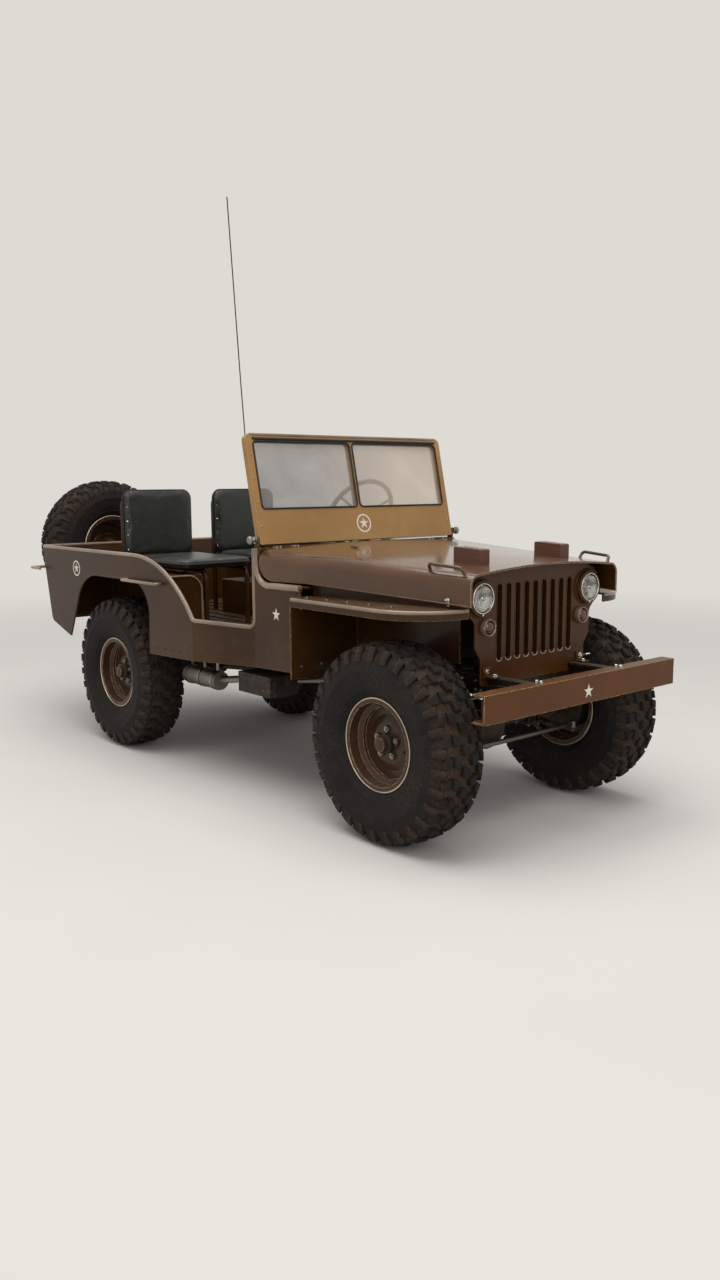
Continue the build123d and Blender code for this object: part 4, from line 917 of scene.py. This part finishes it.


# Grille
# A pressed panel whose nine slots are flanged inwards; each slot's foot is curled
# into a lip painted bright as a highlight. Brackets tie its foot to the frame horns.
grille_enamel = enamel("grille_enamel", "3E2107", "4A2B0E", "6B5030", 0.32,
                       coat=0.15, dust=0.2, mud=0.3, worn=0.002)
coat(grille_enamel, "grille")
GRILLE_X = 1190
SLOTS, SLOT_STEP, SLOT_HALF = 9, 40.0, 11.5
SLOT_FOOT = [(-1, 541), (-1, 532, 8), (1, 532, 8), (1, 541)]
SLOT_WALL = [(-1, 541), (-1, 758, 10), (1, 758, 10), (1, 541)]
lips, edges = [], []
for i in range(SLOTS):
    y = (i - 4) * SLOT_STEP
    lips.append([(1190.5, y + side * SLOT_HALF, z, *more) for side, z, *more in SLOT_FOOT])
    edges.append([(GRILLE_X, y + side * SLOT_HALF, z, *more) for side, z, *more in SLOT_WALL])
bead("slot_foot_lips", "chassis", rolled, lips, 2.2, 8)
bead("slot_edges", "chassis", grille_enamel, edges, 1.6, 6)
crown = [(y, 806 - 15.5 * (y / 302) ** 2) for y in range(256, -257, -32)]
cap = Piece()
cap.plate([(-256, 784), (256, 784), *crown], (1190.3, 0, 0), (0, 1, 0), (0, 0, 1), -5)
cap.done("grille_crown", "chassis", grille_enamel)
bead("grille_crown_webbing", "chassis", rubber_trim, [[(1188, y, z - 1) for y, z in crown]], 2.6, 8)
feet = Piece()
for side in (-1, 1):
    feet.plate(oblong(-16, 0, 16, 34), (1191, side * 214, 486), (0, 1, 0), (0, 0, 1), 4)
    feet.plate(oblong(0, -16, 38, 16), (1191, side * 206, 491), (1, 0, 0), (0, 1, 0), 4)
feet.done("grille_foot_brackets", "chassis", grille_enamel, rounded=1.5)
heads("grille_foot_bolts", "bolt", "chassis", polished,
      both([((1195, -214, 508), (1, 0, 0)), ((1216, -204, 495), (0, 0, 1))]), 0.95)
bead("grille_shackle", "chassis", polished, [
    [(1197, 228, 508), (1212, 228, 512, 6), (1212, 246, 512, 6), (1197, 246, 508)]], 3, 10)


# Lamps
# Headlamps have enamelled rims with a thin chromed ring, silvered bowls with a painted
# reflection, and fluted glass. Markers are dark lenses in cups painted pale as a highlight; tail lamps are
# red in black shells.
LAMP_Y, LAMP_Z = 245, 722
# The bowl's dark band and pale band above it are a painted reflection.
DARK_REFLECTION_HEIGHTS, PALE_REFLECTION_HEIGHTS = (0.722, 0.730), (0.732, 0.742)  # heights where the bowl darkens, and pales again
coat(grille_enamel, "headlamp_shells")
silvered, tree, shader, place = start_material("silvered_reflector_painted_reflection", {"Metallic": 1.0})
haze = add(tree, "ShaderNodeTexNoise", {"Vector": place, "Scale": 45.0, "Detail": 4.0}).outputs["Fac"]
height = add(tree, "ShaderNodeSeparateXYZ", {"Vector": place}).outputs["Z"]
silver = laid_over(tree, "F4F2EE", "D2CFC8", (haze, 0.0, 1.0))
# Dark then pale bands by height: a painted reflection in the bowl.
silver = laid_over(tree, silver, "3E3A36", (height, *DARK_REFLECTION_HEIGHTS))
silver = laid_over(tree, silver, "B9B4AC", (height, *PALE_REFLECTION_HEIGHTS))
give(tree, shader, {"Base Color": silver, "Roughness": spread(tree, (haze, 0.3, 0.7, 0.08, 0.22))})

lamp_glass, tree, shader, place = start_material("fluted_lamp_glass", {
    "Transmission Weight": 1.0, "IOR": 1.45, "Coat Weight": 0.6, "Coat Roughness": 0.03})
film = add(tree, "ShaderNodeTexNoise", {"Vector": place, "Scale": 60.0, "Detail": 5.0}).outputs["Fac"]
flutes = add(tree, "ShaderNodeTexWave", {"Vector": place, "Scale": 60.0},
             bands_direction="Y", wave_profile="SIN")
bump = add(tree, "ShaderNodeBump", {"Height": flutes.outputs["Fac"], "Strength": 0.4, "Distance": 0.0008})
give(tree, shader, {
    "Base Color": laid_over(tree, "F1F3F2", "D4D2CB", (film, 0.0, 1.0)),
    "Roughness": spread(tree, (film, 0.3, 0.7, 0.01, 0.06)), "Normal": bump.outputs["Normal"]})
coat(lamp_glass, "headlamp_lenses")

bowls, rims, bulbs = Piece(), Piece(), Piece()
for y in (-LAMP_Y, LAMP_Y):
    at = (GRILLE_X, y, LAMP_Z)
    bowls.turned([(0, 1), (12, 0.5), (26, 0.3), (38, 0.1), (38.5, 3.4), (30, 3.5), (0, 3.7)],
                 at, (1, 0, 0), 40)
    rims.turned([(41.5, 14), (51, 3), (52, 0), (52.5, 3), (52, 9), (47, 15.5), (43, 15.8), (41.5, 14)],
                at, (1, 0, 0), 56)
    bulbs.turned([(0, 0), (7, 0), (7, 5), (5, 6), (6, 9), (4, 12), (0, 13)],
                 (1192, y, LAMP_Z), (1, 0, 0), 20)
bowls.done("lamp_bowls", "chassis", silvered)
bulbs.done("lamp_bulbs", "chassis", polished)
rims.done("headlamp_rims", "chassis", grille_enamel)
LAMP_RINGS = [  # name, place along, radius, thickness, finish
    ("headlamp_seat_rings", 1191, 55, 3, grille_enamel),
    ("headlamp_trim_rings", 1205.5, 42.5, 2, polished),
]
for name, x, radius, thick, finish in LAMP_RINGS:
    rings = [[(x, y + radius * math.cos(a), LAMP_Z + radius * math.sin(a)) for a in angles(40)]
             for y in (-LAMP_Y, LAMP_Y)]
    bead(name, "chassis", finish, rings, thick, 8, closed=True)
heads("headlamp_rim_screws", "screw", "chassis", polished,
      [((1205, y, 674), (1, 0, -0.5)) for y in (-LAMP_Y, LAMP_Y)], 0.6)


def moulded_lens(name, roughness, scale, deep, pale):
    """Tinted plastic whose inner face is moulded in small cells."""
    made, tree, shader, place = start_material(name, {"Roughness": roughness, "Coat Weight": 0.6})
    cells = add(tree, "ShaderNodeTexVoronoi", {"Vector": place, "Scale": scale}).outputs["Distance"]
    give(tree, shader, {"Base Color": laid_over(tree, deep, pale, (cells, 0.0, 1.0))})
    return made


dark_lens = moulded_lens("dark_marker_lens", 0.12, 260.0, "2A120A", "5A2C14")
red_lens = moulded_lens("red_moulded_lens", 0.15, 220.0, "5E0D0A", "8C1C14")
coat(dark_lens, "marker_lamps")
coat(chassis_enamel, "tail_lamps")
cups, reds = Piece(), Piece()
for side in (-1, 1):
    cups.turned([(20.5, -1), (25, -1), (26, 8), (25.5, 14), (23.5, 17), (21.5, 15), (20.5, -1)],
                (GRILLE_X, side * 215, 636), (1, 0, 0), 36)
    reds.turned([(0, -1), (21, -1), (21, 3), (16, 7), (0, 9)], (-1124.6, side * 440, 610), (-1, 0, 0), 32)
cups.done("marker_cups", "chassis", rolled)
reds.done("tail_lamp_lenses", "chassis", red_lens)


# Front bumper
# A folded channel bolted across the frame horns by gussets, with a star on its
# face. Its top is painted pale as a highlight, and its face is painted lighter and warmer as lit olive drab.
# A lighter, warmer copy of the olive drab: painted light on the face, and a painted highlight on the top.
bumper_enamel = enamel("warm_olive_drab_painted_light_enamel", "4E2805", "5C330A", "D2B688", 0.34,
                       coat=0.1, dust=0.45, mud=0.2)
coat(bumper_enamel, "front_bumper")
star("bumper_star", "chassis", (1389.9, 4, 450), (0, 1, 0), (0, 0, 1))
ARM = [(0, 0), (0, 56), (-150, 44), (-150, 14)]
WEB = [(0, 0), (36, 0), (36, 66), (14, 66), (0, 52)]
gussets = Piece()
for side in (-1, 1):
    gussets.plate(ARM, (1342, side * 210, 424), (1, 0, 0), (0, 0, 1), side * -5)
    gussets.plate(WEB, (1349, side * 402, 423), (1, 0, 0), (0, 0, 1), 5)
gussets.done("bumper_gussets", "chassis", chassis_enamel, rounded=1.0)
heads("bumper_bolts", "bolt", "chassis", polished,
      both([((1290, -215, 456), (0, -1, 0)), ((1238, -215, 452), (0, -1, 0)), ((1368, -185, 496), (0, 0, 1)),
            ((1352, -185, 496), (0, 0, 1))]), 0.9)
hooks = [[(1330, -236, 470), (1378, -262, 478, 16), (1378, -300, 466, 16), (1342, -310, 452)]]
bead("bumper_hooks", "chassis", chassis_enamel, both(hooks), 7, 12)


# Windshield
# A raked frame in drab enamel painted a paler tan as painted sunlight, with two panes in black rubber strip,
# a pivot each side and two clamp knobs. The glass is hazy with dust.
# The tan stands for sunlight on the olive drab frame: painted light.
ws_enamel = enamel("drab_enamel_painted_sunlit_tan", "96703F", "A67F4E", "E0CFAE", 0.34, coat=0.4, dust=0.5, mud=0.0)
coat(ws_enamel, "windshield_frame")
RAKE = math.radians(12.4)
ws_up = Vector((-math.sin(RAKE), 0, math.cos(RAKE)))
ws_out = Vector((math.cos(RAKE), 0, math.sin(RAKE)))
ws_foot = Vector((408.5, 0, 850))


def on_frame(across, height, proud=0.0):
    """A place on the windshield's front face, in mm across and up it."""
    return tuple(ws_foot + Vector((0, across, 0)) + ws_up * height + ws_out * proud)


glass, tree, shader, place = start_material("dusty_sheet_glass", {
    "IOR": 1.5, "Roughness": 0.06, "Coat Weight": 0.5})
wiped = add(tree, "ShaderNodeTexNoise", {
    "Vector": place, "Scale": 5.0, "Detail": 5.0, "Distortion": 0.6}).outputs["Fac"]
across = add(tree, "ShaderNodeSeparateXYZ", {"Vector": place}).outputs["Y"]
# The glass tint runs from grey on the car's right to pale tan on its left.
give(tree, shader, {
    "Base Color": laid_over(tree, "8F8A88", "CDBBA8", (across, -0.2, 0.2)),
    "Alpha": spread(tree, (wiped, 0.3, 0.7, 0.4, 0.62))})
coat(glass, "windshield_glass")
PANE = oblong(6.0, 117.7, 418.0, 343.6)
strips = [[(*on_frame(side * y, z, 0.4), 14) for y, z in PANE] for side in (-1, 1)]
TOP_ROLL = [on_frame(y, 366, -3) for y in (-424, 424)]
# The top roll's pale coat is a painted highlight.
bead("windshield_top_roll", "windshield", rolled, [TOP_ROLL], 5.5, 12)
bead("windshield_top_seal", "windshield", rubber_trim, [[on_frame(y, 352, 1) for y in (-418, 418)]], 4.5, 10)
bead("pane_rubber_strips", "windshield", rubber_trim, strips, 3.4, 8, closed=True)
FRAME_EDGE = [(-443, 4), (-443, 368), (443, 368), (443, 4)]
bead("windshield_rolled_edge", "windshield", ws_enamel,
     [[(*on_frame(y, z, -2.5), 20 if z > 100 else 0) for y, z in FRAME_EDGE]], 3, 10)
knobs = Piece()
for side in (-1, 1):
    knobs.turned([(0, 0), (12, 0), (12, 4), (7, 6), (6, 12), (13, 16), (14, 24), (10, 28), (0, 28)],
                 (396, side * 457, 865), (0, side, 0), 20)
    at = Vector(on_frame(side * 360, 30, -30))
    knobs.turned([(0, 0), (9, 0), (9, 5), (5, 6), (5, 14), (11, 16), (12, 22), (0, 24)], at, -ws_out, 18)
knobs.done("windshield_pivot_knobs", "windshield", plated)
star("windshield_star", "windshield", on_frame(11, 58, 0.3), (0, 1, 0), ws_up, 30)
heads("windshield_screws", "screw", "windshield", ws_enamel,
      [(on_frame(y, z), tuple(ws_out)) for y in (-431, 431) for z in (60, 140, 220, 300)], 0.7)


# Steering wheel, pedals and levers
# A moulded black wheel on three steel spokes, all given the wheel's black finish,
# round a horn button, a black column, and pedals with ribbed rubber pads.
plastic, tree, shader, place = start_material("black_moulded_plastic", {"Coat Weight": 0.2})
rubbed = add(tree, "ShaderNodeTexNoise", {"Vector": place, "Scale": 40.0, "Detail": 5.0}).outputs["Fac"]
give(tree, shader, {
    "Base Color": laid_over(tree, "121110", "2C2926", (rubbed, 0.0, 1.0)),
    "Roughness": spread(tree, (rubbed, 0.3, 0.7, 0.3, 0.5))})
coat(plastic, "steering_wheel", "steering_column", "pedals_and_levers")
wheel_at = Vector((110, 240, 930))
way = (wheel_at - Vector((972, 140, 450))).normalized()
button = Piece()
button.turned([(0, -12), (22, -12), (24, -8), (23, -2), (16, 2), (0, 4)], wheel_at, way, 32)
button.done("horn_button", "steering_wheel", polished)
pads = Piece()
for y in (150, 215, 330):
    for i in range(6):
        z = 563 + i * 8.4
        pads.plate(oblong(-21, z, 21, z + 5), (357.4, y, 0), (0, -1, 0), (0, 0, 1), -1.8)
pads.done("pedal_ribs", "chassis", rubber_trim)
boots = Piece()
for x, y in ((335, 0), (315, -60)):
    boots.turned([(0, -1), (34, -1), (34, 3), (26, 8), (24, 16), (17, 20), (15, 30), (9, 36), (0, 36)],
                 (x, y, 496), (-0.25, 0, 1), 24)
boots.done("lever_boots", "chassis", rubber_trim)


# Seats
# Thin foam pads in dark green-black vinyl on painted tube frames, with piped edges
# and press studs down one side of each back.
PEBBLES = 420.0  # cells 2.4 mm wide: coarser than on the real vinyl, so that they show
vinyl, tree, shader, place = start_material("embossed_dark_vinyl", {
    "Coat Weight": 0.15, "Coat Roughness": 0.3})
shade = add(tree, "ShaderNodeTexNoise", {"Vector": place, "Scale": 6.0, "Detail": 5.0}).outputs["Fac"]
pebble = add(tree, "ShaderNodeTexVoronoi", {"Vector": place, "Scale": PEBBLES}, feature="SMOOTH_F1")
creases = add(tree, "ShaderNodeTexNoise", {
    "Vector": place, "Scale": 28.0, "Detail": 6.0, "Distortion": 1.2}).outputs["Fac"]
upward = add(tree, "ShaderNodeSeparateXYZ", {"Vector": place.node.outputs["Normal"]}).outputs["Z"]
tone = laid_over(tree, "171915", "262922", (shade, 0.35, 0.7))
# Pale on raised creases where the vinyl faces up: a painted sheen.
tone = laid_over(tree, tone, "6A6454", (creases, 0.5, 0.75), (upward, 0.5, 1.0, 0.05, 0.4))
grain = add(tree, "ShaderNodeBump", {
    "Height": pebble.outputs["Distance"], "Strength": 0.2, "Distance": 0.0005})
soft = add(tree, "ShaderNodeBump", {
    "Height": creases, "Strength": 0.25, "Distance": 0.004, "Normal": grain.outputs["Normal"]})
give(tree, shader, {
    "Base Color": tone, "Roughness": spread(tree, (creases, 0.3, 0.7, 0.32, 0.52)),
    "Normal": soft.outputs["Normal"]})


CLOTH_FRAMES = 20


def pad(name, low, high, cap, hold):
    """A foam pad between two corners in mm, blown up by cloth pressure and held to a cap in
    mm."""
    low, high = Vector(low), Vector(high)
    work = bmesh.new()
    bmesh.ops.create_cube(work, size=1.0)
    for vert in work.verts:
        for k in range(3):
            vert.co[k] = (low[k] if vert.co[k] < 0 else high[k]) / 1000
    upright = [e for e in work.edges if abs((e.verts[0].co - e.verts[1].co).normalized()[hold]) > 0.9]
    bmesh.ops.bevel(work, geom=upright, offset=0.035, segments=6, affect="EDGES", profile=0.5)
    mesh = bpy.data.meshes.new(name)
    work.to_mesh(mesh)
    work.free()
    made = bpy.data.objects.new(name, mesh)
    scene.collection.objects.link(made)
    remesh = made.modifiers.new("voxels", "REMESH")
    remesh.mode = "VOXEL"
    remesh.voxel_size = 0.006
    bpy.context.view_layer.update()
    mesh = bpy.data.meshes.new_from_object(made.evaluated_get(bpy.context.evaluated_depsgraph_get()))
    made.modifiers.clear()
    made.data = mesh
    rest = [v.co.copy() for v in mesh.vertices]
    cloth = made.modifiers.new("cloth", "CLOTH")
    cloth.settings.use_pressure = True
    cloth.settings.uniform_pressure_force = 4.0
    cloth.settings.effector_weights.gravity = 0.0
    cloth.settings.quality = 4
    cloth.point_cache.frame_start = 1
    cloth.point_cache.frame_end = CLOTH_FRAMES
    for frame_number in range(1, CLOTH_FRAMES + 1):
        scene.frame_set(frame_number)
    blown = bpy.data.meshes.new_from_object(made.evaluated_get(bpy.context.evaluated_depsgraph_get()))
    made.modifiers.clear()
    made.data = blown
    scene.frame_set(1)
    mesh = blown
    for vert, start in zip(mesh.vertices, rest):
        move = vert.co - start
        if move.length > cap / 1000:
            vert.co = start + move.normalized() * (cap / 1000)
    smooth = made.modifiers.new("subdivision", "SUBSURF")
    smooth.levels = smooth.render_levels = 1
    bpy.context.view_layer.update()
    final = bpy.data.meshes.new_from_object(made.evaluated_get(bpy.context.evaluated_depsgraph_get()))
    bpy.data.objects.remove(made)
    final.name = name
    made = finished(name, final, "chassis", vinyl, 80)
    return made


SEAT_INNER, SEAT_OUTER = 53, 377
DRAWN_IN = 4
piped, studs = [], []
cushions, backs = [], []
for side in (-1, 1):
    word = "right" if side < 0 else "left"
    y_low, y_high = sorted((side * SEAT_INNER, side * SEAT_OUTER))
    cushions.append(pad("seat_cushion_" + word, (-630, y_low, 731), (-193, y_high, 757), 7, 2))
    backs.append(pad("seat_back_" + word, (-670, y_low, 749), (-642, y_high, 1026), 7, 0))
    y_low, y_high = y_low + DRAWN_IN, y_high - DRAWN_IN
    piped.append([(-626, y_low, 745, 30), (-197, y_low, 745, 40),
                  (-197, y_high, 745, 40), (-626, y_high, 745, 30)])
    piped.append([(-656, y_low, 753, 30), (-656, y_low, 1021, 36),
                  (-656, y_high, 1021, 36), (-656, y_high, 753, 30)])
    studs += [((-642.5, y_low + 12, z), (1, 0, 0)) for z in (782, 842, 897, 956)]
for made in cushions:
    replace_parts(made, "seat_cushions")
for made in backs:
    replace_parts(made, "seat_backs")
bead("seat_piping", "chassis", rubber_trim, piped, 4.5, 8, closed=True)
heads("seat_press_studs", "rivet", "chassis", polished, studs, 0.9)


# Handles, spare wheel carrier, tank and antenna
# Bent tube grab handles, painted bright as a highlight; a filler cap on the tank; and a tapering
# spring-steel whip that stands on a coil spring and a porcelain insulator.
coat(rolled, "body_handles")
antenna_black = bare_metal("blackened_spring_steel", "1A1917", 0.45, 0.2)
porcelain, tree, shader, place = start_material("brown_glazed_porcelain", {
    "Roughness": 0.12, "Coat Weight": 0.5})
pooled = add(tree, "ShaderNodeTexNoise", {"Vector": place, "Scale": 50.0}).outputs["Fac"]
give(tree, shader, {"Base Color": laid_over(tree, "2A1810", "4A2C1C", (pooled, 0.0, 1.0))})
carrier = Piece()
carrier.turned([(0, -18), (60, -18), (62, -16), (62, 0), (48, 8), (0, 10)],
               (-1314, SPARE[1], SPARE[2]), (1, 0, 0), 36)
carrier.done("spare_carrier_plate", "chassis", body_enamel)
cap = Piece()
cap.turned([(0, 0), (24, 0), (24, 6), (30, 8), (30, 16), (27, 19), (0, 20)], (-300, 250, 640), (0, 0, 1), 30)
cap.done("fuel_filler_cap", "chassis", plated)
ANTENNA_X, ANTENNA_Y = -958, 482
whip = [(ANTENNA_X, ANTENNA_Y, 722, 0, 2.0), (-968, ANTENNA_Y, 800, 0, 1.6),
        (-1046, ANTENNA_Y, 1540, 6000, 1.0), (-1125, ANTENNA_Y, 2388, 0, 0.7)]
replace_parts(bead("antenna_whip", "chassis", antenna_black, [whip], 2.6, 10), "antenna")
foot = Piece()
foot.plate(oblong(-22, 630, 22, 700), (ANTENNA_X, 509.6, 0), (1, 0, 0), (0, 0, 1), 6)
foot.plate(oblong(-12, 474, 12, 504), (ANTENNA_X, 0, 664), (1, 0, 0), (0, 1, 0), 5)
foot.done("antenna_bracket", "chassis", chassis_enamel, rounded=1.0)
INSULATOR = [(0, 0), (15, 0), (17, 3), (12, 6), (12, 9), (16, 12), (12, 16), (11, 20), (15, 23), (9, 28),
             (0, 28)]
shells = Piece()
shells.turned(INSULATOR, (ANTENNA_X, ANTENNA_Y, 669), (0, 0, 1), 28)
shells.done("antenna_insulator", "chassis", porcelain)
COILS, COIL_R, COIL_RISE, COIL_FOOT = 7, 11.0, 6.0, 698
turns = [(ANTENNA_X + COIL_R * math.cos(a), ANTENNA_Y + COIL_R * math.sin(a),
          COIL_FOOT + COIL_RISE * a / (2 * math.pi))
         for a in [2 * math.pi * i / 16 for i in range(16 * COILS + 1)]]
bead("antenna_spring", "chassis", antenna_black, [turns], 2.4, 8)
heads("carrier_bolts", "bolt", "chassis", plated,
      [on_rear(y, z, 8) for z in (660, 762) for y in (-205, -45)], 1.0)

size = {"cad": cad_box, "visual": [list(corner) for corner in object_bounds()]}
